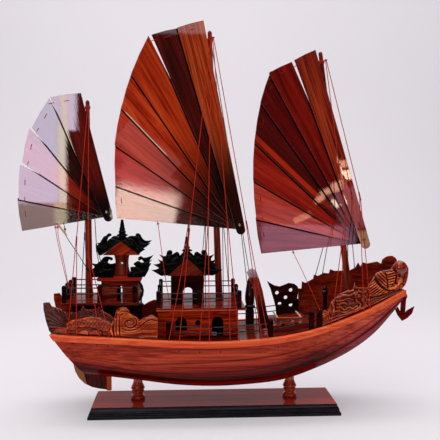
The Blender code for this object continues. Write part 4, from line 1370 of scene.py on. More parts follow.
def carve_fish(relief: Relief) -> None:
    """The quarter board: a fish with a fan tail, and a scroll with a wave before its head."""
    tail = ((-271.0, 190.0), (-262.0, 190.0), (-256.0, 183.0), (-240.0, 178.0), (-231.0, 170.0),
            (-229.0, 158.0), (-233.0, 151.0), (-247.0, 149.5), (-258.0, 138.0), (-272.0, 150.0))
    relief.rays(relief.within(tail, 1.5), (-226.0, 151.0), 9.0, 1.5, 0.22)
    relief.ridge(((-233.8, 154.2), (-242.3, 161.8), (-252.0, 171.5), (-264.0, 184.0)), 1.3, 1.0)
    fin = (
        (-240.0, 180.0), (-229.0, 176.0), (-215.0, 190.0), (-170.0, 190.0), (-157.0, 166.0), (-160.0, 159.0),
        (-169.0, 163.5), (-181.0, 169.0), (-193.0, 170.0), (-206.0, 168.0), (-216.0, 165.0), (-232.0, 160.0))
    relief.strands(relief.within(fin, 1.2), 24.0, 2.7, 1.1, 1.2)
    for place in (-206.3, -181.3):
        relief.ridge(((place, 186.0), (place - 3.5, 177.0), (place - 9.0, 171.0)), 3.0, 1.0)
    body = ((-234.0, 157.0), (-224.9, 162.8), (-216.1, 165.0), (-205.8, 167.5), (-193.2, 169.4),
            (-180.7, 168.4), (-168.9, 163.0), (-159.0, 158.0), (-157.0, 139.0), (-169.1, 144.0),
            (-183.8, 148.0), (-198.6, 150.6), (-213.3, 149.5), (-222.0, 145.0), (-233.0, 147.0))
    raised = relief.plate(body, 1.6, 4.0)
    relief.scales(np.clip(raised * 2.0, 0.0, 1.0), 5.6, 1.5)
    for centre in (-205.5, -188.0):
        lobe = [(centre - 9.0, 139.5), (centre - 9.0, 144.5), (centre - 4.0, 147.5), (centre + 4.0, 147.5),
                (centre + 8.6, 144.5), (centre + 8.6, 137.0)]
        relief.plate(lobe, 2.2, 4.0)
    gaps = relief.within(((-233.0, 146.5), (-216.5, 146.0), (-215.5, 138.5), (-233.0, 138.5)), 1.5)
    gaps += relief.within(((-178.6, 146.5), (-166.0, 142.5), (-160.5, 136.0), (-178.5, 134.5)), 1.5)
    relief.height -= 2.2 * np.clip(gaps, 0.0, 1.0)
    for row in (
        ((-159.4, 160.0), (-162.4, 148.2), (-159.5, 136.8)),
        ((-155.5, 165.0), (-156.8, 150.0), (-154.8, 136.8)),
        ((-152.0, 160.0), (-152.4, 148.0), (-150.6, 137.0))):
        relief.ridge(row, 2.1, 1.8)
    relief.stain += np.clip(relief.within(tail, 1.0) + relief.within(fin, 1.0), 0.0, 1.0)
    relief.stain *= 1.0 - np.clip(raised * 3.0, 0.0, 1.0)
    scroll = ((-154.5, 140.0), (-154.8, 168.0), (-153.0, 176.0), (-148.0, 181.5), (-137.5, 182.5),
              (-122.0, 169.0), (-118.5, 163.0), (-110.0, 169.0), (-88.0, 170.0), (-88.0, 126.0))
    relief.plate(scroll, 1.0, 2.0)
    relief.groove(((-148.9, 139.0), (-149.4, 151.0), (-149.8, 163.0), (-148.1, 170.5), (-143.0, 174.0)), 0.9)
    relief.groove((
        (-137.0, 177.5), (-130.0, 171.5), (-124.6, 166.0), (-122.8, 160.0), (-125.4, 153.8), (-131.5, 151.6),
        (-138.0, 152.8), (-141.0, 157.2), (-139.6, 161.8), (-135.2, 163.2), (-131.2, 161.0)), 1.0, 1.6)
    relief.groove(((-145.4, 150.5), (-136.5, 147.2), (-124.5, 149.2), (-116.0, 154.5), (-108.5, 161.2),
                   (-99.0, 164.2), (-90.0, 161.5)), 1.0, 1.5)
    relief.groove(((-145.4, 145.5), (-135.0, 143.2), (-122.5, 145.2), (-112.5, 149.8), (-104.5, 156.4),
                   (-90.0, 158.0)), 0.8, 1.1)
    relief.ridge(((-116.0, 158.0), (-110.0, 163.6), (-101.0, 167.2), (-91.0, 165.0)), 2.4, 0.8)
    relief.dome((-133.0, 157.4), 5.6, 1.6)
    hole = np.hypot(relief.x + 144.9, relief.z - 172.9)
    relief.height -= 3.0 * np.clip(1.6 - hole, 0.0, 1.0)
    relief.scales(relief.within(((-153.0, 136.0), (-152.0, 141.0), (-120.0, 137.5), (-90.5, 140.0),
                                 (-90.0, 131.0)), 2.0), 2.2, 0.5)


def carve_dragon(relief: Relief) -> None:
    """The bow board: a rosette, coiled legs and ribbed fins, up to a round knob."""
    base = relief.z - 148.0 - (relief.x - 168.0) * 0.37
    relief.dome((172.5, 162.0), 8.5, 2.2)
    relief.ridge([(172.5 + 5.4 * math.cos(a), 162.0 + 5.4 * math.sin(a)) for a in np.linspace(0, 6.3, 17)],
                 0.8, -1.0)
    fan = ((245.5, 193.0), (244.5, 203.0), (248.5, 214.0), (255.0, 219.5), (260.5, 212.0), (269.0, 205.0),
           (281.0, 199.5), (268.0, 194.5), (256.0, 193.0))
    relief.strands(relief.plate(fan, 1.0, 1.2), 32.0, 3.8, 2.6)
    left = ((256.5, 232.5), (258.0, 222.0), (263.0, 214.5), (271.0, 208.0), (277.5, 205.0), (277.0, 218.0),
            (273.0, 231.0), (266.0, 233.5))
    relief.strands(relief.plate(left, 1.4, 1.0), -40.0, 4.3, 2.8, 0.6)
    right = ((274.0, 231.5), (278.0, 231.5), (286.0, 237.0), (292.0, 230.0), (291.5, 220.0),
             (288.0, 213.0), (279.0, 206.0), (277.8, 218.0))
    relief.strands(relief.plate(right, 1.4, 1.0), 8.0, 4.1, 2.8, 0.8)
    relief.groove(((257.8, 222.0), (262.5, 212.5), (271.0, 205.5), (282.0, 200.5)), 1.4, 2.4)
    for centre, radius, rise in (
        ((284.0, 206.5), 5.0, 2.2), ((293.0, 206.0), 6.0, 2.4), ((299.5, 217.0), 6.5, 2.6),
        ((302.5, 206.0), 4.5, 1.8), ((223.0, 199.5), 4.5, 2.2), ((236.5, 187.5), 3.6, 2.0),
        ((229.0, 195.0), 3.0, 1.6), ((246.5, 187.0), 3.0, 1.8), ((240.5, 180.5), 3.0, 1.6),
        ((213.0, 186.5), 4.0, 1.8)):
        relief.dome(centre, radius, rise)
    for path, half, rise in (
            (((193.0, 193.5), (203.0, 196.5), (213.0, 196.5), (221.0, 200.5)), 2.2, 2.2),
            (((192.0, 188.0), (202.0, 189.0), (211.0, 191.5), (218.5, 189.0)), 1.8, 2.0),
            (((194.0, 182.5), (203.5, 185.0), (211.5, 181.5), (219.5, 184.5)), 2.0, 2.2),
            (((192.5, 177.5), (199.0, 178.0), (205.0, 173.5), (213.0, 177.5), (220.0, 173.5)), 2.0, 2.0),
            (((207.0, 205.0), (214.0, 203.0), (219.5, 204.5)), 1.8, 1.8),
            (((219.1, 217.1), (221.1, 210.5), (228.8, 208.4), (243.0, 208.5)), 2.0, 2.2),
            (((228.0, 203.5), (234.0, 200.5), (241.0, 201.5)), 1.7, 1.8),
            (((223.5, 193.0), (225.5, 186.5), (231.5, 182.5), (230.5, 176.5)), 2.0, 2.2),
            (((236.0, 195.0), (241.5, 190.5), (240.5, 184.5)), 1.7, 1.8),
            (((186.0, 171.5), (196.0, 171.5), (206.0, 170.0), (216.0, 174.0), (226.0, 178.5)), 1.8, 2.0),
            (((182.0, 161.0), (193.0, 164.5), (204.0, 166.0), (216.0, 170.0), (228.0, 175.5)), 1.8, 1.8),
            (((246.0, 181.0), (256.0, 185.5), (266.0, 191.0), (278.0, 195.5)), 1.6, 1.6),
            (((184.0, 185.0), (187.0, 178.0), (185.5, 170.0)), 1.8, 1.8)):
        relief.ridge(path, half, rise)
    relief.strands(relief.within(((248.0, 190.5), (262.0, 192.5), (276.0, 198.0), (284.0, 199.0),
                                  (262.0, 186.0), (250.0, 182.5)), 1.5), 70.0, 2.6, 1.2)
    relief.height += 1.6 * np.clip(1.0 - np.abs(base - 2.0) / 2.2, 0.0, 1.0)
    relief.stain += 0.55 * relief.within(((246.0, 191.0), (262.0, 193.0), (283.0, 200.0), (292.0, 199.0),
                                          (262.0, 183.0), (246.0, 178.0)), 3.0)
    coil = ((185.0, 202.0), (244.0, 205.0), (244.0, 177.0), (186.0, 161.0))
    relief.stain += 0.45 * relief.within(coil, 8.0)
    relief.height -= 0.8 * relief.within(coil, 5.0)
    relief.ridge(((304.0, 228.0), (302.5, 221.0), (297.5, 212.0)), 4.0, 3.0)
    relief.ridge(((281.0, 204.5), (289.0, 205.5), (296.5, 210.5)), 3.0, 2.6)
    relief.groove(((292.0, 232.0), (294.0, 222.0), (291.5, 212.5)), 1.4, 2.4)


@dataclass
class CarvedBoard:
    """A board that follows the rail's curve, with one carved face.

    Each row has a place along the ship, the lower edge, or None where that is the deck, and the upper edge.
    """

    node: str
    side: Side
    rows: tuple[tuple[float, float | None, float], ...]
    carve: Callable[[Relief], None]
    hull: Hull
    finish: Finish
    thick: float = 5.0
    column: float = 0.75
    levels: int = 88
    arris: float = 1.3
    # How far above the rail the painted shade along the foot reaches, and the clear gap to the deck.
    dark_foot: float = 2.6
    deck_gap: float = 0.3
    # The lowest and highest that a stroke may leave the face.
    limits: tuple[float, float] = (-2.6, 6.5)

    def edges(self, x: np.ndarray) -> tuple[np.ndarray, np.ndarray]:
        """The board's lower and upper edge at some places along it."""
        places = [row[0] for row in self.rows]
        lows = [self.hull.deck_top(row[0]) + self.deck_gap if row[1] is None else row[1]
                for row in self.rows]
        return np.interp(x, places, lows), np.interp(x, places, [row[2] for row in self.rows])

    def build(self) -> None:
        """Builds the board, carved on its outer face and plain inside."""
        ends = (self.rows[0][0], self.rows[-1][0])
        places = np.union1d(np.linspace(*ends, int((ends[1] - ends[0]) / self.column)),
                            [row[0] for row in self.rows])
        low, high = self.edges(places)
        share = np.linspace(0.0, 1.0, self.levels)[None, :]
        x = np.repeat(places[:, None], self.levels, axis=1)
        z = low[:, None] + (high - low)[:, None] * share
        relief = Relief(x, z)
        self.carve(relief)
        rail = np.array([self.hull.rail_top(place) for place in places])[:, None]
        # Painted shade along the foot, just above the rail, goes into the darker tone.
        relief.stain = np.clip(relief.stain + np.clip(1.0 - (z - rail - self.dark_foot) / 1.2, 0.0, 1.0),
                               0.0, 1.0)
        cavity = relief.cavity()
        rim = np.minimum(high[:, None] - z, relief.apart([(row[0], row[2]) for row in self.rows]))
        relief.height = np.clip(relief.height, *self.limits)
        relief.height -= 0.9 * np.clip(1.0 - rim / self.arris, 0.0, 1.0) ** 2
        middle = np.array([self.hull.half_breadth(min(place, self.hull.bow_x)) for place in places])
        middle = (middle - self.hull.board_inset)[:, None]
        outer = self.side.value * (middle + self.thick / 2 + relief.height)
        inner = self.side.value * (middle - self.thick / 2)
        self.mesh(x, outer, inner, z, low, high, cavity, relief.stain)

    def mesh(self, x: np.ndarray, outer: np.ndarray, inner: np.ndarray, z: np.ndarray, low: np.ndarray,
             high: np.ndarray, cavity: np.ndarray, stain: np.ndarray) -> None:
        """Makes the closed mesh of the board from its grid, and dresses it.

        Args:
            x: place of each grid point along the ship.
            outer: its place across the ship.
            inner: the plain face's place across the ship, by column.
            z: its height.
            low: the lower edge by column.
            high: the upper edge by column.
            cavity: the depth value that paints shade into its hollows and highlight onto its ridges.
            stain: how much of the darker tone it has, which also carries painted shade along the foot.
        """
        columns, levels = x.shape
        points = np.stack([x, outer, z], axis=-1).reshape(-1, 3)
        back = np.concatenate([np.stack([x[:, 0], inner[:, 0], low], axis=-1),
                               np.stack([x[:, 0], inner[:, 0], high], axis=-1)])
        grid = np.arange(columns * levels).reshape(columns, levels)
        feet = columns * levels + np.arange(columns)
        heads = feet + columns
        faces = []
        for one in range(columns - 1):
            two = one + 1
            for step in range(levels - 1):
                faces.append((grid[one, step], grid[two, step], grid[two, step + 1], grid[one, step + 1]))
            faces.append((feet[one], heads[one], heads[two], feet[two]))
            faces.append((grid[one, -1], grid[two, -1], heads[two], heads[one]))
            faces.append((grid[one, 0], feet[one], feet[two], grid[two, 0]))
        for end in (0, columns - 1):
            faces.append((*grid[end, :], heads[end], feet[end]))
        mesh = bpy.data.meshes.new("board")
        mesh.from_pydata((np.concatenate([points, back]) * MM).tolist(), [],
                         [tuple(int(corner) for corner in face) for face in faces])
        build = bmesh.new()
        build.from_mesh(mesh)
        bpy.data.meshes.remove(mesh)
        for label, values, level in (("relief", cavity, 0.56), ("stain", stain, 0.0)):
            layer = build.verts.layers.float.new(label)
            flat = [*values.reshape(-1), *([level] * (2 * columns))]
            for vertex, value in zip(build.verts, flat):
                vertex[layer] = float(value)
        bmesh.ops.recalc_face_normals(build, faces=build.faces)
        piece = mesh_piece(f"{self.node}_carved", build, 42.0)
        dressed(piece, self.finish, SHIP, slot_of(self.node), [self.node])


@dataclass
class Fretwork:
    """A flat black carving with rounded edges, hooks and ball ends, cut from thick board."""

    thick: float = 5.2
    rounding: float = 1.9
    cell: float = 0.9

    def shell(self, build: Build, outline: Sequence[Point2], y: float,
              strokes: Strokes, domes: Domes) -> None:
        """Adds one carving to a shape.

        Args:
            build: the shape.
            outline: its outline in millimetres, anticlockwise as seen from starboard.
            y: its middle across the ship.
            strokes: path, half width and rise of each ridge or groove.
            domes: centre, radius and rise of each round knob.
        """
        edge = [Vector(point) for point in self.even(outline)]
        lows = [min(p[axis] for p in edge) for axis in (0, 1)]
        highs = [max(p[axis] for p in edge) for axis in (0, 1)]
        mesh_x, mesh_z = np.meshgrid(np.arange(lows[0], highs[0], self.cell),
                                     np.arange(lows[1], highs[1], self.cell))
        field_ = Relief(mesh_x.ravel(), mesh_z.ravel())
        loop = [(p.x, p.y) for p in edge]
        keep = (field_.within(loop, 0.01) > 0.5) & (field_.apart([*loop, loop[0]]) > 0.45 * self.cell)
        spots = edge + [Vector((x, z)) for x, z in zip(field_.x[keep], field_.z[keep])]
        count = len(edge)
        result = delaunay_2d_cdt(spots, [(i, (i + 1) % count) for i in range(count)], [], 1, 1e-4)
        verts, _, faces = result[:3]
        relief = Relief(np.array([v.x for v in verts]), np.array([v.y for v in verts]))
        depth = np.clip(relief.apart([*loop, loop[0]]) / self.rounding, 0.0, 1.0)
        half = self.thick / 2 * np.sqrt(np.clip(1.0 - (1.0 - depth) ** 2, 0.01, 1.0))
        for path, wide, rise in strokes:
            relief.ridge(path, wide, rise)
        for centre, radius, rise in domes:
            relief.dome(centre, radius, rise)
        worked = relief.height * depth
        sheets = []
        layer = build.verts.layers.float.get("relief") or build.verts.layers.float.new("relief")
        # Painted shade and highlight for the lacquer: raised work and the rounded edges lighter, cut-in work
        # darker.
        glow = np.clip(0.5 + relief.height * 0.35 + 0.3 * (1 - depth), 0.0, 1.0)
        for sign in (-1, 1):
            sheet = []
            for place, (x, z) in enumerate(zip(relief.x, relief.z)):
                reach = sign * (half[place] + max(worked[place], -half[place] * 0.7))
                sheet.append(build.verts.new((x * MM, (y + reach) * MM, z * MM)))
                sheet[-1][layer] = float(glow[place])
            sheets.append(sheet)
        edges = {(a, b) for face in faces for a, b in zip(face, (*face[1:], face[0]))}
        for face in faces:
            build.faces.new([sheets[0][corner] for corner in face])
            build.faces.new([sheets[1][corner] for corner in reversed(face)])
        for a, b in edges:
            if (b, a) not in edges:
                build.faces.new((sheets[0][b], sheets[0][a], sheets[1][a], sheets[1][b]))

    def even(self, outline: Sequence[Point2]) -> list[Point2]:
        """The outline with points close enough together for its rounded edge."""
        loop = [*outline, outline[0]]
        spaced = []
        for (ax, az), (bx, bz) in zip(loop, loop[1:]):
            steps = max(1, round(math.hypot(bx - ax, bz - az) / (self.cell * 1.1)))
            spaced += [(ax + (bx - ax) * step / steps, az + (bz - az) * step / steps)
                       for step in range(steps)]
        return spaced


def rounded(points: Sequence[tuple], steps: int = 3) -> list[Point2]:
    """A closed outline drawn smoothly through its points, sharp where a point has a third value."""
    count = len(points)
    sharp = [place for place in range(count) if len(points[place]) > 2] or [0]
    outline = []
    for order, start in enumerate(sharp):
        stop = sharp[(order + 1) % len(sharp)]
        run = [points[start][:2]]
        place = start
        while True:
            place = (place + 1) % count
            run.append(points[place][:2])
            if place == stop:
                break
        if len(run) > 2:
            outline += [(p.x, p.y) for p in smooth_path(run, steps)][:-1]
        else:
            outline.append(run[0])
    return outline


# Stand


@dataclass
class Stand:
    """The moulded plinth and its two turned pedestals."""

    height: float = 18.0
    sides: int = 56
    # Columns: radius and height above the foot, up to the neck.
    pedestal: tuple[Point2, ...] = (
        (9.5, 0.0), (11.3, 0.9), (11.6, 3.0), (11.3, 5.0), (9.8, 6.2), (8.3, 8.4), (8.4, 10.6), (9.9, 11.8),
        (10.5, 13.4), (10.2, 14.8), (8.2, 15.9), (8.6, 16.6), (11.1, 17.6), (11.5, 18.8), (10.6, 20.8),
        (8.9, 24.6), (7.6, 29.0))

    def build_plinth(self) -> None:
        """Builds the moulded plinth, black at its edge and brown on its top."""
        steps = [(203.0, 51.0, 0.0)]
        steps += [(203.0 - 1.0 * (1 - math.sin(a)), 51.0 - 1.0 * (1 - math.sin(a)), 2.6 + 2.6 * math.cos(a))
                  for a in np.linspace(math.pi / 2, 0.0, 6)]
        steps += [(200.6 - 0.5 * math.sin(a), 48.8 - 0.5 * math.sin(a), 5.6 + 3.2 * a / math.pi)
                  for a in np.linspace(0.0, math.pi, 6)]
        steps += [(197.4 + 2.9 * math.cos(a) ** 2, 45.8 + 2.9 * math.cos(a) ** 2, 9.4 + 5.6 * math.sin(a))
                  for a in np.linspace(0.15, math.pi / 2, 7)]
        steps += [(197.3, 45.8, 17.2), (196.9, 45.4, self.height)]
        rings = [[(-x * MM, -y * MM, z * MM), (x * MM, -y * MM, z * MM), (x * MM, y * MM, z * MM),
                  (-x * MM, y * MM, z * MM)] for x, y, z in steps]
        build = bmesh.new()
        loop_faces(build, rings)
        build.faces.ensure_lookup_table()
        top = build.faces[-1]
        bmesh.ops.inset_region(build, faces=[top], thickness=0.8 * MM)
        piece = mesh_piece("plinth_moulded", build, 28.0)
        dressed(piece, PLINTH_LACQUER, SHIP, slot_of("plinth"), ["plinth"])
        piece.data.materials.append(FINISHES.get(PLINTH_TOP))
        for face in piece.data.polygons:
            if face.normal.z > 0.9 and face.center.z > (self.height - 0.1) * MM:
                face.material_index = 1

    def build_pedestals(self) -> None:
        """Builds the two turned pedestals with fine rings."""
        for place in ("aft", "fore"):
            turned(f"pedestal_{place}", self.pedestal, 7.4, 4, self.sides, TURNED_WOOD)

    def build(self) -> None:
        """Builds the stand."""
        self.build_plinth()
        self.build_pedestals()


STARBOARD_BOW = (
    (168.2, None, 169.0), (172.0, None, 174.0), (178.0, None, 171.0), (183.6, None, 186.9),
    (196.9, None, 197.9), (209.4, None, 203.1), (220.0, None, 207.0), (222.6, None, 215.9),
    (226.1, None, 208.0), (244.4, None, 206.5), (248.8, None, 213.7), (260.0, None, 230.0),
    (268.6, None, 232.6), (285.0, None, 234.8), (289.0, None, 241.5), (293.3, None, 246.0),
    (299.0, None, 249.0), (303.8, 203.6, 248.4), (309.0, 208.0, 244.6), (312.5, 216.0, 241.0),
    (314.5, 228.0, 236.6))
PORT_BOW = (
    (151.3, None, 189.6), (156.8, None, 189.0), (157.8, None, 202.1), (164.1, None, 199.4),
    (177.0, None, 206.9), (178.2, None, 214.1), (185.2, None, 212.1), (195.0, None, 217.4),
    (203.6, None, 216.8), (206.1, None, 224.1), (213.2, None, 221.4), (238.3, None, 222.5),
    (248.0, None, 227.7), (252.8, None, 236.5), (256.4, None, 229.2), (260.5, None, 237.3),
    (267.3, None, 235.2), (283.9, None, 239.1), (290.8, None, 235.5), (292.5, None, 242.6),
    (299.0, None, 247.6), (303.5, 203.6, 249.2), (309.0, 225.0, 249.4), (314.0, 230.0, 246.0),
    (316.5, 236.0, 241.5))
STERN = (
    (-269.5, 178.0, 187.0), (-266.0, 160.0, 187.3), (-260.5, 143.0, 187.6), (-257.0, 139.5, 181.8),
    (-247.5, 139.5, 179.0), (-238.9, None, 176.2), (-230.0, None, 171.6), (-215.8, None, 173.8),
    (-211.0, None, 176.5), (-206.9, None, 184.3), (-203.0, None, 178.6), (-195.7, None, 178.4),
    (-186.0, None, 179.4), (-181.6, None, 183.6), (-178.5, None, 178.1), (-164.2, None, 170.6),
    (-158.4, None, 165.0), (-156.4, None, 170.0), (-154.2, None, 177.6), (-150.0, None, 181.4),
    (-144.4, None, 183.0), (-137.9, None, 182.0), (-132.5, None, 173.3), (-122.8, None, 166.7),
    (-118.5, None, 162.3), (-110.1, None, 167.5), (-101.1, None, 170.8), (-95.0, None, 169.6),
    (-90.3, None, 164.9))


# Sails


@dataclass(frozen=True)
class SlatTone:
    """How one slat looks: its wood, and how its varnish shines."""

    dark: Colour
    body: Colour
    light: Colour
    figure: float = 0.5
    wide: float = 0.0045
    peel: float = 0.022
    pits: float = 0.0


@dataclass
class Fan:
    """One sail: its mast's name, tack pin, slats and their tones, in millimetres and degrees."""

    mast: str
    pin: Point2
    # Columns: lead angle and reach, trail angle and reach.
    rows: tuple[tuple[float, float, float, float], ...]
    tones: tuple[SlatTone, ...]
    thread: Twine
    slat: float = 1.5
    pitch: float = 1.8
    back: float = -6.5
    foot: float = 8.0
    first_foot: float = 7.4
    first_drop: float = 8.5
    stitch: float = 0.55
    shade_reach: tuple[float, float] = (0.04, 0.14)

    def node(self, order: int) -> str:
        """The node's name of a slat."""
        return f"{self.mast}_slat_{order + 1}"

    def spot(self, angle: float, reach: float) -> Vector:
        """A point at an angle aft of the vertical from the pin, as x and z in metres."""
        turn = math.radians(angle)
        return Vector((self.pin[0] - reach * math.sin(turn), self.pin[1] + reach * math.cos(turn))) * MM

    def front(self, order: int) -> float:
        """The place of a slat's front face across the ship, in metres."""
        return (self.back - (len(self.rows) - 1 - order) * self.pitch - self.slat) * MM

    def trailing(self, order: int) -> tuple[Vector, Vector]:
        """A slat's trailing edge, as its outer corner and its outward direction."""
        lead, _, trail, reach = self.rows[order]
        corner = self.spot(trail, reach)
        centre, radius = self.spot(0.0, 0.0), self.foot * MM
        if order == 0:
            centre = self.spot((lead + trail) / 2, -self.first_drop)
            radius = self.first_foot * MM
        along = corner - centre
        lean = math.asin(radius / along.length)
        along.normalize()
        side = Vector((-along.y, along.x))
        return corner, side * math.cos(lean) + along * math.sin(lean)

    def trailing_line(self, order: int) -> tuple[Point2, Point2]:
        """A slat's trailing edge as a stripe's point and direction."""
        corner, outward = self.trailing(order)
        return tuple(corner), tuple(outward)

    def wood(self, order: int, extra: tuple[Band, ...]) -> VarnishedWood:
        """The varnished wood of a slat: a pale stripe on its trailing edge, part lighter edge wood and part
        painted highlight, a painted shadow of the slat before it, and painted shade towards the pin.

        Args:
            order: the slat's place in the fan.
            extra: further stripes of its own.

        Returns:
            The finish.
        """
        lead, _, trail, _ = self.rows[order]
        tone = self.tones[order]
        lie = (self.spot((lead + trail) / 2, 100.0) - self.spot(0.0, 0.0)).normalized()
        # A pale stripe along the slat's own trailing edge: lighter edge wood, partly a painted highlight of
        # the rounded arris.
        bands = [Band(*self.trailing_line(order), -0.35 * MM, 1.0, 0.15 * MM, (0.36, 0.17, 0.11), 0.7)]
        pin = self.spot(0.0, 0.0)
        # A painted shadow of the slat before it: a near-black matt band beside that slat's trailing edge.
        if order:
            bands.append(Band(*self.trailing_line(order - 1), -1.0, 2.1 * MM, 0.8 * MM,
                              (0.002, 0.001, 0.001), 0.97, tuple(pin), (0.01, 2.0), 0.08, matt=True))
        # Painted shade darkens the slat towards the pin.
        return VarnishedWood(
            f"{self.node(order)}_wood", tone.dark, tone.body, tone.light, lie=(lie.x, lie.y),
            vein_long=0.13, vein_wide=tone.wide, figure=tone.figure, shift=0.13 * order + self.pin[0] * MM,
            coat=1.0, coat_roughness=0.006, coat_index=1.9,
            orange_peel=tone.peel, pits=tone.pits, foot=(pin.x, 0.0, pin.y), foot_reach=self.shade_reach,
            foot_tone=(0.05, 0.03, 0.03), bands=(*bands, *extra))

    def build_stitches(self) -> None:
        """Sews a thread into each slat's outer end, and one across each joint beside it."""
        radius = self.stitch * MM
        for order, (lead, lead_reach, trail, trail_reach) in enumerate(self.rows):
            first, last = self.spot(lead, lead_reach), self.spot(trail, trail_reach)
            along = (last - first).normalized()
            inward = Vector((along.y, -along.x))
            if inward.dot(self.spot(0.0, 0.0) - first) < 0:
                inward = -inward
            face = self.front(order) - radius * 0.7
            middle = (first + last) / 2 + inward * 9.0 * MM
            routes = [self.dash(middle - along * 4.5 * MM, middle + along * 4.5 * MM, face, face, radius)]
            if order + 1 < len(self.rows):
                root = last + inward * 9.5 * MM
                lower = self.front(order + 1) - radius * 0.7
                start, end = root - along * 4.8 * MM, root + along * 4.6 * MM
                routes.append(self.dash(start, end, face, lower, radius))
            piece = laid_thread(f"{self.node(order)}_stitches", routes, radius, self.thread)
            dressed(piece, self.thread, body_of(self.node(order)), "red_thread")

    def dash(self, start: Vector, end: Vector, near: float, far: float, radius: float) -> list[Vector]:
        """One stitch's route, that dives into the wood at both ends.

        Args:
            start: x and z of its start.
            end: x and z of its end.
            near: the thread's middle across the ship at its start.
            far: the same at its end.
            radius: the thread's radius.

        Returns:
            The points of the route.
        """
        share = [(0.0, 1.6 * radius), (0.04, 0.2 * radius), (0.12, 0.0), (0.5, -0.2 * radius), (0.88, 0.0),
                 (0.96, 0.2 * radius), (1.0, 1.6 * radius)]
        route = []
        for part, dip in share:
            spot = start.lerp(end, part)
            level = near + (far - near) * min(max((part - 0.5) / 0.3, 0.0), 1.0)
            route.append(Vector((spot.x, level + dip, spot.y)))
        return route

    def build_pin(self) -> None:
        """Builds the steel washer and dome over the tack pin."""
        face = self.front(0) - 1.5 * MM
        profile = ((2.0, -0.02), (2.1, 0.2), (1.9, 0.45), (1.3, 0.5), (1.1, 0.25), (0.9, 0.2), (0.3, 0.2))
        centre = Vector((self.pin[0] * MM, face, self.pin[1] * MM))
        build = lathe([(r * MM, h * MM) for r, h in profile], centre, centre - Vector((0.0, 0.01, 0.0)), 24)
        dressed(mesh_piece(f"{self.mast}_tack_pin", build, 50.0), PIN_STEEL, SHIP, slot_of(self.node(0)))

    def build(self, extras: dict[int, tuple[Band, ...]]) -> None:
        """Builds the fan's slats, stitches and pin."""
        pin = self.spot(0.0, 0.0)
        # The slats' edge faces: dark edge wood, with painted shade deepening towards the pin.
        edge = VarnishedWood(f"{self.mast}_edge_wood", (0.05, 0.015, 0.010), (0.13, 0.05, 0.03),
                             (0.26, 0.13, 0.09), vein_wide=0.002, coat=0.05, foot=(pin.x, 0.0, pin.y),
                             foot_reach=(0.06, 0.26), foot_tone=(0.01, 0.004, 0.004))
        for order in range(len(self.rows)):
            wood = self.wood(order, extras.get(order, ()))
            piece = refined(self.node(order), wood, 0.28 * MM, steps=1)
            piece.data.materials.append(FINISHES.get(edge))
            for face in piece.data.polygons:
                if abs(face.normal.y) < 0.9:
                    face.material_index = 1
        self.build_stitches()
        self.build_pin()


MIZZEN_FAN = Fan("mizzen", (-173.6, 327.9), (
    (11.6, 193.6, 25.5, 202.1), (26.3, 201.4, 40.9, 178.2), (42.3, 180.5, 59.3, 155.4),
    (61.1, 156.9, 81.7, 141.6), (81.0, 144.2, 102.7, 139.3)), (
    SlatTone((0.07, 0.004, 0.002), (0.12, 0.006, 0.003), (0.17, 0.012, 0.006)),
    SlatTone((0.016, 0.002, 0.001), (0.030, 0.003, 0.002), (0.06, 0.006, 0.004)),
    SlatTone((0.16, 0.007, 0.002), (0.28, 0.014, 0.003), (0.38, 0.025, 0.006)),
    SlatTone((0.10, 0.004, 0.001), (0.19, 0.008, 0.002), (0.28, 0.016, 0.004), pits=0.2),
    SlatTone((0.010, 0.001, 0.001), (0.018, 0.002, 0.001), (0.04, 0.004, 0.002), peel=0.06, pits=1.2)),
    RED_TWINE, shade_reach=(0.015, 0.07))
MAIN_FAN = Fan("main", (40.7, 306.5), (
    (10.1, 331.8, 17.6, 330.2), (16.9, 329.2, 24.9, 334.7), (25.7, 335.6, 35.7, 297.6),
    (34.9, 300.4, 45.4, 266.6), (44.5, 269.8, 57.3, 238.9), (56.4, 240.2, 72.4, 210.2),
    (71.4, 211.6, 86.7, 199.1)), (
    SlatTone((0.14, 0.009, 0.002), (0.46, 0.045, 0.007), (0.62, 0.10, 0.022), wide=0.0034, figure=0.8),
    SlatTone((0.03, 0.002, 0.001), (0.07, 0.003, 0.002), (0.14, 0.008, 0.004)),
    SlatTone((0.26, 0.010, 0.002), (0.48, 0.032, 0.004), (0.66, 0.07, 0.010), figure=0.8),
    SlatTone((0.22, 0.008, 0.002), (0.52, 0.030, 0.005), (0.76, 0.08, 0.014), figure=1.6, wide=0.008),
    SlatTone((0.36, 0.026, 0.012), (0.58, 0.042, 0.020), (0.70, 0.07, 0.03), pits=0.35),
    SlatTone((0.36, 0.010, 0.005), (0.60, 0.018, 0.010), (0.72, 0.04, 0.02), peel=0.12, pits=0.8),
    SlatTone((0.22, 0.025, 0.010), (0.35, 0.050, 0.020), (0.50, 0.08, 0.03), peel=0.07, pits=1.0)), RED_TWINE,
    shade_reach=(0.055, 0.20))
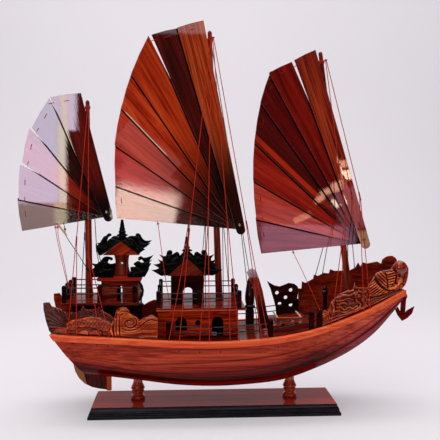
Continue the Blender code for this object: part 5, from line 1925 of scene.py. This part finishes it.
FORE_FAN = Fan("fore", (245.6, 282.3), (
    (15.1, 317.4, 22.0, 312.4), (22.8, 311.6, 30.4, 312.1), (29.5, 313.6, 37.6, 280.4),
    (36.8, 283.0, 48.8, 240.0), (47.9, 242.6, 62.2, 205.9), (61.2, 207.3, 79.5, 179.5),
    (78.6, 181.2, 98.0, 169.9)), (
    SlatTone((0.07, 0.004, 0.002), (0.26, 0.017, 0.005), (0.52, 0.06, 0.016), wide=0.0030, figure=0.9),
    SlatTone((0.10, 0.002, 0.001), (0.20, 0.004, 0.001), (0.30, 0.010, 0.003)),
    SlatTone((0.06, 0.001, 0.001), (0.12, 0.001, 0.001), (0.18, 0.004, 0.002)),
    SlatTone((0.04, 0.001, 0.001), (0.075, 0.002, 0.001), (0.13, 0.005, 0.002)),
    SlatTone((0.22, 0.006, 0.003), (0.37, 0.013, 0.005), (0.50, 0.03, 0.010)),
    SlatTone((0.42, 0.035, 0.02), (0.62, 0.06, 0.035), (0.78, 0.10, 0.06), pits=0.35),
    SlatTone((0.16, 0.024, 0.03), (0.25, 0.040, 0.050), (0.36, 0.06, 0.07), peel=0.06, pits=1.0)),
    MAROON_TWINE, shade_reach=(0.012, 0.05))


def fan_extras(fan: Fan) -> dict[int, tuple[Band, ...]]:
    """The stripes that only some slats of a fan have, by the slat's place."""
    pin = tuple(fan.spot(0.0, 0.0))
    if fan.mast == "main":
        # A pale cream sliver along slat 4's trailing edge: a painted highlight.
        sliver_highlight = Band(*fan.trailing_line(3), -1.7 * MM, 1.0, 0.3 * MM, (0.85, 0.62, 0.42), 0.9, pin,
                      (0.16, 0.262))
        return {3: (sliver_highlight,)}
    if fan.mast == "fore":
        streak = Band(*fan.trailing_line(3), -9.0 * MM, -5.0 * MM, 4.0 * MM, (0.62, 0.03, 0.006), 0.85, pin,
                      (0.04, 0.30), 0.09)
        heel = Band(pin, (0.0, 1.0), -0.03, 0.012, 0.006, (0.62, 0.36, 0.18), 0.85, pin, (-0.02, 0.030))
        return {3: (streak,), 0: (heel,)}
    return {}


# Rigging


@dataclass
class Rigging:
    """The main stays: laid threads from a lashing near each mast's head to the rail."""

    hull: Hull
    # Columns: mast, height of the lashing, slats of its fan, and each thread's join and two feet.
    runs: tuple = (
        ("mizzen", 496.0, 5, ((-217.0, 283.0, -230.0, -216.0), (-198.0, 262.0, -180.0, -164.0))),
        ("main", 606.0, 7, ((-42.0, 296.0, -73.0, -57.0), (-12.5, 298.0, -26.0, -11.0),
                            (18.5, 306.0, 21.0, 35.0), (48.5, 308.0, 70.0, 80.0))),
        ("fore", 572.0, 7, ((207.0, 320.0, 181.0, 193.0), (231.0, 352.0, 236.0, 247.0))),
    )
    # Columns: foot x and z, head x and z, radius at the foot and at the head.
    masts: dict = field(default_factory=lambda: {
        "mizzen": (-204.6, 187.7, -204.0, 508.0, 6.2, 3.0),
        "main": (10.6, 129.9, -6.9, 621.0, 6.2, 3.4),
        "fore": (229.0, 168.1, 174.3, 589.0, 5.9, 3.2)})
    sail_gap: float = 1.9
    stay: float = 0.64
    whipping: float = 0.40

    def mast_at(self, mast: str, z: float) -> tuple[float, float]:
        """A mast's middle and radius at a height."""
        foot_x, foot_z, head_x, head_z, thick, thin = self.masts[mast]
        share = (z - foot_z) / (head_z - foot_z)
        return foot_x + (head_x - foot_x) * share, thick + (thin - thick) * share

    def front(self, count: int) -> float:
        """How far out a thread clears a fan with this many slats."""
        return Fan.back - (count - 1) * Fan.pitch - Fan.slat - self.sail_gap

    def foot(self, mast: str, side: int, x: float) -> Vector:
        """Where a strand is made fast: on the rail, or on top of the port bow board."""
        half, top = self.hull.half_breadth(x), self.hull.rail_top(x)
        if mast != "fore" or side < 0:
            return Vector((x, side * (half + 0.8), top + 0.9))
        places = [row[0] for row in PORT_BOW]
        high = float(np.interp(x, places, [row[2] for row in PORT_BOW]))
        return Vector((x, side * (half - self.hull.board_inset), high + 0.6))

    def coil(self, start: Vector, end: Vector, radius: float, pitch: float) -> list[Vector]:
        """A helix round a line.

        Args:
            start: the line's start.
            end: its end.
            radius: the helix's radius.
            pitch: how far one turn goes along.

        Returns:
            The helix's points.
        """
        axis = (end - start).normalized()
        turn = axis.to_track_quat("Z", "Y").to_matrix()
        span = (end - start).length
        count = max(8, int(span / pitch * 10))
        points = []
        for step in range(count + 1):
            angle = 2 * math.pi * step / count * span / pitch
            points.append(start + axis * (span * step / count) + turn @ round_spot(radius, angle))
        return points

    def side_routes(self, mast: str, height: float, count: int, joins: Sequence[tuple], side: int
                    ) -> tuple[list[list[Vector]], list[list[Vector]]]:
        """The routes of one side's threads: the stays and strands, then the whippings and knots."""
        x, radius = self.mast_at(mast, height)
        front = self.front(count)
        knot = Vector((x + 3.0, front, height) if side < 0 else (x, radius + 2.9, height))
        lines, coils = [], []
        for order, (join_x, join_z, *feet) in enumerate(joins):
            start = knot + Vector(((order - (len(joins) - 1) / 2) * 1.26, 0.0, -0.2))
            share = (height - join_z) / (height - self.hull.rail_top(join_x))
            spread = start.y + (side * (self.hull.half_breadth(join_x) + 7.0) - start.y) * share
            join = Vector((join_x, spread, join_z))
            up = (start - join).normalized()
            lines.append([start, join - up * 3.0])
            coils.append(self.coil(join - up * 5.0, join + up * 8.5, 0.95, 0.74))
            for place, aside in zip(feet, (-0.64, 0.64)):
                end = self.foot(mast, side, place)
                away = (join - end).normalized()
                lines.append([join + up * 7.0 + Vector((aside, 0.0, 0.0)), join + Vector((aside, 0.0, 0.0)),
                              end, end - Vector((0.0, 0.0, 1.6))])
                coils.append(self.coil(end - away * 0.4, end + away * 2.6, 0.62, 0.72))
        wide = 0.9 + 0.63 * len(joins)
        across = Vector((wide, 0.0, 0.0))
        coils.append(self.coil(knot - across, knot + across, 1.0, 0.8))
        return lines, coils

    def build(self) -> None:
        """Builds each mast's threads: red on the starboard side, and black as painted shade on the port side.
        """
        for mast, height, count, joins in self.runs:
            node = f"shrouds_{mast}"
            # The port side's black is painted shade: the same red thread, coloured as if in shadow.
            for side, finish in ((-1, RED_TWINE), (1, BLACK_TWINE)):
                lines, coils = self.side_routes(mast, height, count, joins, side)
                if side < 0:
                    coils += self.head_lashing(mast, height, count)
                name = f"{node}_{Side(side).word}"
                replaced = [node] if side < 0 else ()
                for label, routes, radius, sides, nodes in (
                        (name, lines, self.stay, 8, replaced),
                        (f"{name}_whippings", coils, self.whipping, 6, ())):
                    piece = laid_thread(label, [[p * MM for p in route] for route in routes],
                                        radius * MM, finish, sides)
                    dressed(piece, finish, SHIP, slot_of(node), nodes)

    def head_lashing(self, mast: str, height: float, count: int) -> list[list[Vector]]:
        """The turns round a mast's head, and the two that reach round the sail to the knot."""
        x, radius = self.mast_at(mast, height)
        low, high = Vector((x, 0.0, height - 2.6)), Vector((x, 0.0, height + 2.6))
        front = self.front(count)
        bridge = [Vector((x + 3.4, -radius + 0.2, height + 0.3)), Vector((x + 3.0, front, height + 0.1))]
        return [self.coil(low, high, radius + 0.75, 0.8), self.coil(low, high, radius + 1.2, 1.1), bridge,
                [point + Vector((0.0, 0.0, 0.8)) for point in bridge]]


@dataclass
class Sheet:
    """One cord from a sail's lowest slat down to the ship."""

    name: str
    slat: str
    routes: tuple[tuple[Point3, ...], ...]
    finish: Finish
    radius: float = 0.5

    def build(self) -> None:
        """Builds the cord, which hangs between the slat and the ship."""
        curves = [[p * MM for p in smooth_path(route, 8)] for route in self.routes]
        for route in self.routes:
            x, y, z = route[1]
            turns = [2 * math.pi * step / 9 for step in range(28)]
            curves.append([Vector((x + 1.5 * math.cos(a), y - 0.05 * a, z + 1.3 * math.sin(a))) * MM
                           for a in turns])
        piece = laid_thread(self.name, curves, self.radius * MM, self.finish, 7)
        coated(piece, self.finish)
        start = max((curve[0] for curve in curves), key=lambda point: point.z)
        end = min((curve[-1] for curve in curves), key=lambda point: point.z)
        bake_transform(piece, body_of(self.slat), SHIP, start, end)


# Cabins and fittings

# Outlines of the black carvings in millimetres, anticlockwise as seen from starboard. A third value
# marks a sharp corner. The pavilion's wing is measured from the middle of its ridge.
UPPER_HORN = (
    (-144.5, 283.7), (-140.3, 285.8), (-136.5, 286.3), (-132.8, 285.8), (-129.7, 283.6), (-124.9, 277.2),
    (-122.8, 275.6), (-123.5, 280.4), (-125.9, 284.7), (-129.6, 286.3), (-129.6, 289.3), (-126.2, 290.8),
    (-122.2, 288.4), (-118.5, 282.0))
UPPER_WING = (
    *UPPER_HORN, (-113.2, 278.2), (-102.6, 278.6, 1), (-107.4, 274.4), (-113.8, 270.2), (-110.8, 268.2, 1),
    (-116.5, 265.3), (-120.2, 262.1), (-121.2, 260.4, 1), (-150.0, 282.1, 1), (-178.8, 260.4, 1),
    (-183.4, 258.7, 1), (-186.9, 262.5), (-187.9, 268.2), (-189.6, 274.0, 1), (-186.1, 276.7),
    (-189.0, 278.8, 1), (-184.0, 279.6), *[(-300.0 - x, z) for x, z in reversed(UPPER_HORN)])
PAVILION_WING = (
    (0.0, 4.4), (6.0, 1.8), (12.0, -4.0, 1), (13.2, 0.2), (17.0, 2.4), (20.5, 0.6), (25.5, -2.6, 1),
    (24.2, 1.0), (26.0, 4.6), (30.0, 5.2), (33.5, 3.0), (36.5, -5.0), (47.0, -2.0, 1), (41.0, -11.0),
    (47.5, -17.4), (57.0, -19.2, 1), (41.5, -28.6, 1), (30.5, -28.1, 1), (0.0, 0.0, 1))
EAVE_WING_FORE = (
    (-139.5, 225.3, 1), (-112.0, 225.3, 1), (-109.8, 228.8), (-104.3, 238.9, 1), (-108.0, 239.5),
    (-106.9, 244.3), (-100.0, 253.3, 1), (-107.6, 250.2), (-116.6, 248.4), (-121.7, 251.0), (-125.9, 249.2),
    (-126.7, 245.5), (-124.0, 243.3), (-121.1, 245.5), (-118.2, 242.2), (-115.1, 237.4), (-119.8, 238.5),
    (-126.2, 242.3), (-133.0, 239.7), (-134.4, 237.0), (-131.0, 233.8), (-135.7, 233.3), (-140.0, 232.6, 1))
EAVE_WING_AFT = (
    (-161.1, 225.3, 1), (-195.8, 225.3, 1), (-198.9, 232.1), (-205.1, 239.6, 1), (-193.6, 239.0),
    (-185.1, 249.1), (-177.7, 250.9), (-170.4, 249.0), (-168.8, 245.8), (-172.5, 243.7), (-174.6, 245.8),
    (-177.3, 240.5), (-171.5, 238.3), (-163.1, 239.9), (-161.5, 234.0, 1))
UPPER_STROKES = (
    (((-150.0, 282.6), (-139.0, 282.8), (-130.5, 279.5), (-124.5, 272.0), (-117.0, 272.5), (-107.0, 276.5)),
     1.0, -1.0),
    (((-146.0, 279.0), (-135.0, 276.5), (-127.0, 268.5), (-122.5, 263.5)), 0.9, -1.0),
    (((-154.0, 282.6), (-161.0, 282.8), (-169.5, 279.5), (-175.5, 272.0), (-182.0, 273.0)), 1.0, -1.0),
    (((-154.0, 279.0), (-165.0, 276.5), (-173.0, 268.5), (-181.0, 263.5)), 0.9, -1.0))
UPPER_DOMES = (
    ((-126.6, 288.2), 3.0, 1.8), ((-137.0, 284.6), 3.2, 1.2), ((-173.4, 288.2), 3.0, 1.8),
    ((-163.0, 284.6), 3.2, 1.2))


@dataclass
class Upperworks:
    """The cabins, decks, roofs, railings and fittings above the main deck."""

    hull: Hull
    woods: tuple = (
        ("poop_house", SHADED_ROOM_WOOD, 0.4), ("poop_deck", EDGE_WOOD, 0.5), ("stern_cabin", CABIN_WOOD, 0.5),
        ("eave", EAVE_WOOD, 0.6), ("tower", TOWER_WOOD, 0.5), ("upper_roof", ROOF_WOOD, 0.4),
        ("deckhouse", HOUSE_WOOD, 0.5), ("upper_deck", UPPER_DECK_WOOD, 0.5), ("pavilion", SHADED_ROOM_WOOD, 0.5),
        ("pavilion_roof", PAVILION_ROOF_WOOD, 0.4), ("hatch", DECK_WOOD, 0.5),
        ("pierced_board", DARK_WOOD, 0.6), ("ladder", LADDER_WOOD, 0.3), ("bollard", POST_WOOD, 0.3),
        ("poop_railing", DARK_WOOD, 0.5), ("upper_railing", DARK_WOOD, 0.5),
        ("deck_railing_starboard", DARK_WOOD, 0.5), ("deck_railing_port", DARK_WOOD, 0.5),
        ("mast_mizzen", MAST_WOOD, 0.3), ("mast_main", MAST_WOOD, 0.3), ("mast_fore", MAST_WOOD, 0.3))
    # The roofs' reach to each side of the ridge, the level of painted shade and highlight on plain parts, and
    # the railings' wire.
    roof_reach: float = 26.0
    level: float = 0.6
    wire: float = 0.92
    # Columns: radius and height above the foot, up to the tip.
    post: tuple[Point2, ...] = (
        (7.4, 0.0), (7.6, 22.0), (7.6, 24.5), (6.4, 25.5), (6.6, 26.6), (8.3, 28.0), (8.5, 30.0), (8.1, 31.6),
        (6.6, 33.0), (7.4, 36.0), (8.3, 42.0), (8.0, 50.0), (7.0, 58.0), (5.6, 68.0), (3.6, 76.0))

    def build_wires(self) -> None:
        """Draws round steel wire over each railing's plain ones."""
        hull = self.hull
        routes = {"poop_railing": [], "upper_railing": [], "deck_railing_starboard": [],
                  "deck_railing_port": []}
        for z in (200.9, 210.2):
            routes["poop_railing"] += [[(-236.5, y, z), (-127.0, y, z)] for y in (-50.0, 50.0)]
            routes["poop_railing"].append([(-236.5, -50.0, z), (-236.5, 50.0, z)])
        for z in (194.8, 203.3):
            routes["upper_railing"] += [[(-89.4, y, z), (36.5, y, z)] for y in (-68.2, 68.2)]
            routes["upper_railing"] += [[(x, -68.2, z), (x, 68.2, z)] for x in (-89.4, 36.5)]
        for side, last in ((Side.STARBOARD, (85.0, 151.0, 163.5)), (Side.PORT, (85.0, 147.0))):
            for up in (12.5, 22.0):
                places = [(-74.0, 9.5), (0.0, 8.5), *[(x, 9.5) for x in last]]
                routes[f"deck_railing_{side.word}"].append(
                    [(x, side.value * (hull.half_breadth(x) - inset), hull.deck_top(x) + up)
                     for x, inset in places])
        for node, lines in routes.items():
            piece = laid_thread(f"{node}_wires", [[Vector(p) * MM for p in line] for line in lines],
                                self.wire * MM, STEEL_WIRE, 12, lobe=0.0, facet=8.0)
            dressed(piece, STEEL_WIRE, SHIP, slot_of(node))

    def slab(self, build: Build, outline: Sequence[Point2], low: float, high: float) -> None:
        """Adds a plain slab: an outline in the XZ plane drawn out across the ship."""
        loop_faces(build, [[(x * MM, y * MM, z * MM) for x, z in outline] for y in (low, high)])

    def build_roof_carving(self, node: str, middle: float, apex: float, depth: float, slope: float,
                           outline: Sequence[tuple], strokes: Strokes, domes: Domes,
                           beads: Sequence[Point2]) -> None:
        """Builds a roof's black boards, its two hooked carvings and its turned finial.

        Args:
            node: the node that it stands for.
            middle: the ridge's place along the ship.
            apex: the ridge's height.
            depth: how far the gables are from the middle.
            slope: the roof's fall for each millimetre out.
            outline: the carving's outline.
            strokes: its grooves.
            domes: its knobs.
            beads: the finial's radius and height, from its foot up.
        """
        build = bmesh.new()
        fret = Fretwork()
        for y in (-depth, depth):
            fret.shell(build, rounded(outline), y, strokes, domes)
        fall = apex - slope * self.roof_reach
        for side in (-1, 1):
            end = middle + side * self.roof_reach
            rib = ((middle, apex + 0.4), (end, fall + 0.4), (end + side * 0.8, fall + 1.4),
                   (end + side * 0.4, fall + 3.3), (middle, apex + 3.5))
            self.slab(build, rib, -depth - 1.0, depth + 1.0)
        profile = [(p.x * MM, p.y * MM) for p in smooth_path(beads, 5)]
        foot = Vector((middle, 0.0, apex + 1.2)) * MM
        lathed = lathe(profile, foot, foot + Vector((0.0, 0.0, 1.0)), 28)
        mesh = bpy.data.meshes.new("finial")
        lathed.to_mesh(mesh)
        lathed.free()
        build.from_mesh(mesh)
        bpy.data.meshes.remove(mesh)
        self.lacquered(node, build)

    def lacquered(self, node: str, build: Build) -> None:
        """Makes a black carving in place of a node. Its plain parts count as level in the painted shade and
        highlight.

        Args:
            node: the node.
            build: the carving's shape, with its relief.
        """
        bmesh.ops.recalc_face_normals(build, faces=build.faces)
        layer = build.verts.layers.float["relief"]
        for vertex in build.verts:
            vertex[layer] = vertex[layer] or self.level
        dressed(mesh_piece(f"{node}_worked", build, 40.0), BLACK_LACQUER, SHIP, slot_of(node), [node])

    def build_eave_wings(self, place: str, outline: Sequence[tuple], ends: Point2) -> None:
        """Builds the two hooked wings at one end of the eave, and the sill between them."""
        node = f"eave_wings_{place}"
        build = bmesh.new()
        low = min(point[0] for point in outline)
        strokes = ((((low + 9.0, 231.5), (low + 18.0, 234.0), (low + 27.0, 236.0)), 1.1, -1.1),)
        for y in (-36.0, 36.0):
            Fretwork().shell(build, rounded(outline), y, strokes, ())
        sill = ((ends[0], 225.7), (ends[1], 225.7), (ends[1], 229.0), (ends[0], 229.0))
        self.slab(build, sill, -37.0, 37.0)
        self.lacquered(node, build)

    def build_carvings(self) -> None:
        """Builds every black carving."""
        self.build_roof_carving(
            "upper_roof_carving", -150.0, 281.8, 27.0, 0.75, UPPER_WING, UPPER_STROKES,
            UPPER_DOMES, (
                (8.4, 0.0), (8.5, 2.4), (6.2, 3.6), (6.0, 4.4), (8.6, 5.6), (8.8, 7.0), (5.9, 8.8),
                (5.2, 10.0), (6.4, 11.6), (5.2, 13.4), (4.4, 15.0), (4.9, 16.6), (3.9, 19.0), (3.3, 24.0),
                (2.3, 29.5), (2.5, 31.0), (1.2, 32.0)))
        whole = [(-44.3 + p[0], 255.6 + p[1], *p[2:]) for p in PAVILION_WING]
        whole += [(-44.3 - p[0], 255.6 + p[1], *p[2:]) for p in reversed(PAVILION_WING[1:])]
        strokes = tuple(((tuple((-44.3 + side * x, 255.6 + z) for x, z in path)), wide, rise)
                        for side in (-1, 1) for path, wide, rise in (
                            (((3.0, -1.0), (12.0, -8.5), (22.0, -7.0), (32.0, -9.0), (43.0, -6.0)),
                             1.0, -1.0),
                            (((14.0, -12.0), (24.0, -17.0), (36.0, -18.0), (50.0, -20.5)), 1.0, -1.0)))
        domes = tuple(((-44.3 + side * 29.5, 257.8), 3.0, 1.4) for side in (-1, 1))
        self.build_roof_carving(
            "pavilion_carving", -44.3, 255.3, 38.0, 0.92, whole, strokes, domes,
            ((6.0, 0.0), (6.1, 2.8), (4.6, 4.2), (4.5, 5.2), (8.2, 6.6), (8.4, 8.0), (4.9, 9.6), (4.0, 10.8),
             (5.0, 12.4), (3.6, 14.2), (3.0, 18.0), (2.9, 28.0), (1.6, 30.0)))
        self.build_eave_wings("fore", EAVE_WING_FORE, (-136.0, -117.0))
        self.build_eave_wings("aft", EAVE_WING_AFT, (-183.0, -164.0))

    def build_board(self, name: str, outline: Sequence[Point2], low: float, high: float,
                    finish: Finish, like: str, body: str = SHIP) -> None:
        """Builds a thin board from its outline in the XZ plane.

        Args:
            name: the piece's name.
            outline: its outline in millimetres.
            low: its starboard face.
            high: its port face.
            finish: its finish.
            like: the node whose slot it has.
            body: the body that it rides on.
        """
        build = bmesh.new()
        self.slab(build, outline, low, high)
        bmesh.ops.recalc_face_normals(build, faces=build.faces)
        dressed(eased(mesh_piece(name, build), 0.4 * MM), finish, body, slot_of(like))

    def build_small_pieces(self) -> None:
        """Builds the deckhouse's bulkhead, the ladder's back, the bracket, the hatch's trim and the peg."""
        self.build_board("deckhouse_bulkhead", ((-89.0, 132.0), (34.0, 132.0), (34.0, 172.0), (-89.0, 172.0)),
                         -20.0, -18.0, SHADED_ROOM_WOOD, "pavilion")
        # Columns: height, then the aft and the fore edge.
        rails = ((140.0, 75.9, 86.2), (168.5, 70.8, 80.6), (189.0, 67.2, 76.4), (202.7, 64.4, 73.6),
                 (216.3, 59.8, 69.6), (226.0, 55.8, 66.4), (232.0, 53.2, 64.2))
        back = [(aft, z) for z, aft, _ in rails] + [(fore, z) for z, _, fore in reversed(rails)]
        self.build_board("ladder_back", back, -35.4, -34.2, LADDER_WOOD, "ladder")
        bracket = ((-123.0, 219.0), (-119.4, 219.0), (-115.2, 212.0), (-113.2, 204.0), (-114.2, 196.0),
                   (-118.0, 188.0), (-121.8, 188.0), (-118.4, 196.0), (-117.6, 204.0), (-119.4, 211.0))
        self.build_board("cabin_bracket", bracket, -39.0, -35.0, DARK_WOOD, "pavilion")
        for place, x in (("aft", 102.0), ("fore", 141.0)):
            bar = ((x, 152.9), (x + 3.4, 152.9), (x + 3.0, 155.0), (x + 0.4, 155.0))
            self.build_board(f"hatch_bar_{place}", bar, -14.0, 38.0, PALE_EDGE, "hatch")
        lip = ((101.0, 152.9), (146.0, 152.9), (146.0, 154.4), (101.0, 154.4))
        self.build_board("hatch_lip", lip, -17.0, -15.2, CAP_WOOD, "hatch")
        for place, x, z in (("aft", 108.5, 148.6), ("fore", 130.5, 149.4)):
            oval = [(x + 3.6 * math.cos(a), z + 1.6 * math.sin(a)) for a in np.linspace(0.0, 5.9, 16)]
            self.build_board(f"hatch_hole_{place}", oval, -45.6, -44.7, DARK_WOOD, "pierced_board")
        peg = ((-252.6, 306.6), (-250.4, 308.2), (-237.4, 290.8), (-239.6, 289.2))
        self.build_board("mizzen_peg", peg, -10.4, -8.2, BAMBOO, "rail_cap", "mizzen_slat_5")

    def build_knob(self) -> None:
        """Builds the glossy round knob of the starboard bow board."""
        build = bmesh.new()
        bmesh.ops.create_uvsphere(build, u_segments=40, v_segments=24, radius=1.0)
        shape = Matrix.Translation(Vector((301.0, -39.5, 237.6)) * MM) @ Matrix.Diagonal(
            (9.8 * MM, 6.0 * MM, 11.0 * MM, 1.0))
        build.transform(shape)
        dressed(mesh_piece("bow_knob", build), KNOB_WOOD, SHIP, slot_of("bow_board_starboard"))

    def build(self) -> None:
        """Builds each piece from its own solid, then the finer ones."""
        for node, finish, width in self.woods:
            refined(node, finish, width * MM)
        self.build_wires()
        self.build_carvings()
        self.build_small_pieces()
        self.build_knob()
        turned("pointed_post", self.post, 0.8, 3, 32, POST_WOOD)


# Studio


@dataclass(frozen=True)
class Panel:
    """A small bright panel behind the camera that one part of the varnish mirrors.

    Its middle and size are in metres in the plane of the panels, and its glow is a radiance.
    """

    name: str
    middle: Point2
    size: Point2
    glow: Colour
    turn: float = 0.0


@dataclass
class Studio:
    """The backdrop, the lights and the camera."""

    camera_place: Point3 = (-0.054, -1.148, 0.375)
    yaw: float = 3.19
    pitch: float = 3.05
    focal_pixels: float = 700.0
    frame_pixels: float = 440.0
    sensor: float = 36.0
    # Columns: name, place, what it faces, width, height, power in watts, colour.
    lamps: tuple = (
        ("sky_panel", (0.0, -0.35, 1.9), (0.0, 0.05, 0.0), 2.4, 2.0, 32.0, (1.0, 0.985, 0.97)),
        ("front_panel", (-0.5, -1.7, 1.65), (0.0, 0.0, 0.25), 2.0, 0.9, 7.0, (1.0, 0.98, 0.98)),
        ("backdrop_panel", (0.0, 0.2, 1.9), (0.0, 1.3, 0.3), 2.6, 0.8, 20.0, (1.0, 0.98, 0.99)),
    )
    panel_y: float = -1.5
    panels: tuple[Panel, ...] = (
        Panel("mizzen_glow", (-0.597, 0.5075), (0.178, 0.415), (5.2, 4.6, 5.9)),
        Panel("mizzen_warm_glow", (-0.492, 0.5075), (0.030, 0.415), (6.2, 5.4, 4.6)),
        Panel("mizzen_low_glow", (-0.605, 0.235), (0.162, 0.128), (2.4, 1.6, 1.5)),
        Panel("mizzen_gold_glow", (-0.501, 0.235), (0.045, 0.128), (4.4, 3.5, 2.4)),
        Panel("mizzen_edge_glow", (-0.457, 0.638), (0.040, 0.155), (5.2, 4.6, 5.9)),
        Panel("main_low_glow", (-0.187, 0.285), (0.235, 0.130), (7.6, 5.6, 4.8), -11.0),
        Panel("main_mid_glow", (-0.179, 0.382), (0.225, 0.095), (1.3, 0.40, 0.38), -25.6),
        Panel("main_high_glow", (-0.176, 0.493), (0.250, 0.095), (0.40, 0.25, 0.25), -39.0),
        Panel("fore_glint_1", (0.555, 0.445), (0.052, 0.026), (6.5, 3.0, 1.8), 8.0),
        Panel("fore_glint_2", (0.567, 0.404), (0.045, 0.034), (11.0, 7.6, 5.4), 8.0),
        Panel("fore_glint_3", (0.530, 0.359), (0.032, 0.036), (6.0, 3.0, 2.0), 20.0),
        Panel("fore_glint_4", (0.493, 0.340), (0.044, 0.022), (5.5, 2.6, 1.7), 25.0),
        Panel("fore_glint_5", (0.531, 0.298), (0.024, 0.034), (10.0, 7.4, 5.4), 30.0),
        Panel("fore_glint_6", (0.471, 0.314), (0.040, 0.020), (5.0, 2.4, 1.6), 30.0),
        Panel("fore_glint_7", (0.404, 0.242), (0.066, 0.022), (3.4, 1.6, 1.0), 22.0),
        Panel("fore_soft_glow", (0.430, 0.160), (0.360, 0.110), (1.5, 0.75, 1.1), -1.7),
        Panel("fore_heel_glow", (0.585, 0.272), (0.105, 0.160), (1.0, 0.45, 0.55), 25.0),
        Panel("fore_mid_glow", (0.360, 0.236), (0.230, 0.060), (0.35, 0.15, 0.2), -19.7),
        Panel("tip_glow", (-0.098, 0.945), (0.276, 0.045), (0.9, 0.8, 0.8)),
    )

    def build_backdrop(self) -> None:
        """Builds one pale sheet: a floor that sweeps up into a wall."""
        path = [(-0.62, 0.0), (0.9, 0.0)]
        path += [(0.9 + 0.8 * math.sin(a), 0.8 - 0.8 * math.cos(a))
                 for a in np.linspace(0.15, math.pi / 2, 12)]
        path += [(1.7, 3.4)]
        build = bmesh.new()
        rows = [[build.verts.new((x, y, z)) for x in (-3.4, 3.4)] for y, z in path]
        for low, high in zip(rows, rows[1:]):
            build.faces.new((low[0], low[1], high[1], high[0]))
        sweep = mesh_piece("backdrop", build, 60.0)
        sweep.data.materials.append(FINISHES.get(PALE_CLOTH))

    def add_lamp(self, name: str, place: Point3, target: Point3, size: Point2, power: float, colour: Colour,
                 turn: float = 0.0) -> None:
        """Sets one rectangular panel.

        Args:
            name: its name.
            place: where it is.
            target: the point that it faces.
            size: its width and height.
            power: its power in watts.
            colour: its colour.
            turn: how far it is turned in its own plane, in degrees.
        """
        light = bpy.data.lights.new(name, "AREA")
        light.shape = "RECTANGLE"
        light.size, light.size_y = size
        light.energy = power
        light.color = colour
        lamp = placed(name, light)
        lamp.location = place
        facing = (Vector(target) - Vector(place)).to_track_quat("-Z", "Y").to_matrix()
        spun = facing @ Matrix.Rotation(math.radians(turn), 3, "Z")
        lamp.rotation_euler = spun.to_euler()
        lamp.visible_camera = False

    def build_lights(self) -> None:
        """Sets the soft panels, the small bright ones, and a dim room round them."""
        for name, place, target, width, height, power, colour in self.lamps:
            self.add_lamp(name, place, target, (width, height), power, colour)
        for panel in self.panels:
            x, z = panel.middle
            peak = max(panel.glow)
            tint = tuple(value / peak for value in panel.glow)
            power = math.pi * panel.size[0] * panel.size[1] * peak
            self.add_lamp(panel.name, (x, self.panel_y, z), (x, 0.0, z), panel.size, power, tint,
                          panel.turn)
        world = bpy.data.worlds.new("room")
        world.use_nodes = True
        nodes = Nodes(world.node_tree)
        room = world.node_tree.nodes["Background"]
        nodes.put(room.inputs["Color"], (0.80, 0.77, 0.77, 1.0))
        seen = nodes.add("ShaderNodeLightPath")
        level = nodes.add("ShaderNodeMapRange", {
            "To Min": 0.03, "To Max": 1.0, "Value": seen.outputs["Is Camera Ray"]})
        nodes.put(room.inputs["Strength"], level.outputs["Result"])
        bpy.context.scene.world = world

    def build_camera(self) -> None:
        """Sets the camera where the photograph was taken from."""
        data = bpy.data.cameras.new("camera")
        data.sensor_width = self.sensor
        data.lens = self.focal_pixels / self.frame_pixels * self.sensor
        data.clip_start = 0.01
        camera = placed("camera", data)
        camera.location = self.camera_place
        camera.rotation_euler = (math.radians(90.0 - self.pitch), 0.0, math.radians(-self.yaw))
        bpy.context.scene.camera = camera

    def build(self) -> None:
        """Sets the studio."""
        self.build_backdrop()
        self.build_lights()
        self.build_camera()
        bpy.context.scene.view_settings.view_transform = "Standard"


SHEETS = (
    Sheet("main_sheet", "main_slat_7", (
        ((-92.5, -9.6, 313.5), (-91.4, -8.7, 308.5), (-88.0, -22.0, 286.0), (-80.5, -48.0, 236.0),
         (-71.0, -71.0, 184.0), (-68.3, -73.0, 174.0)),), RED_TWINE, 0.55),
    Sheet("fore_sheet", "fore_slat_7", (
        ((130.8, -9.6, 266.0), (130.2, -8.7, 260.5), (138.0, -30.0, 240.0), (152.0, -56.0, 204.0),
         (164.0, -66.0, 174.5)),), RED_TWINE, 0.5),
    Sheet("mizzen_sheet", "mizzen_slat_5", (
        ((-257.5, -9.6, 309.5), (-256.0, -8.7, 303.0), (-253.0, -14.0, 286.0), (-242.0, -34.0, 250.0),
         (-231.0, -50.5, 215.0)),
        ((-254.5, -9.6, 310.0), (-252.5, -8.7, 303.0), (-250.5, -14.0, 286.0), (-239.5, -34.0, 250.0),
         (-229.4, -50.5, 211.0))), RED_TWINE, 0.5),
    Sheet("mizzen_brail", "mizzen_slat_5", (
        ((-243.0, -9.6, 311.0), (-241.0, -9.0, 300.0), (-238.5, -10.0, 288.0), (-222.0, -9.0, 262.0),
         (-206.5, -7.0, 235.5)),), BLACK_TWINE, 0.6),
)


def main() -> None:
    """Builds the model piece by piece."""
    logging.basicConfig(level=logging.INFO, format="%(message)s")
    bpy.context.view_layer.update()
    hull = Hull()
    Studio().build()
    Stand().build()
    hull.build()
    Upperworks(hull).build()
    for node, side, rows, carve in (
            ("stern_board_starboard", Side.STARBOARD, STERN, carve_fish),
            ("stern_board_port", Side.PORT, STERN, carve_fish),
            ("bow_board_starboard", Side.STARBOARD, STARBOARD_BOW, carve_dragon),
            ("bow_board_port", Side.PORT, PORT_BOW, carve_dragon)):
        # The port boards take the darker copy of the carved wood as painted shade.
        finish = CARVED_WOOD if side is Side.STARBOARD else CARVED_SHADED_WOOD
        CarvedBoard(node, side, rows, carve, hull, finish).build()
    for fan in (MIZZEN_FAN, MAIN_FAN, FORE_FAN):
        fan.build(fan_extras(fan))
    Rigging(hull).build()
    for sheet in SHEETS:
        sheet.build()


if __name__ == "__main__":
    main()
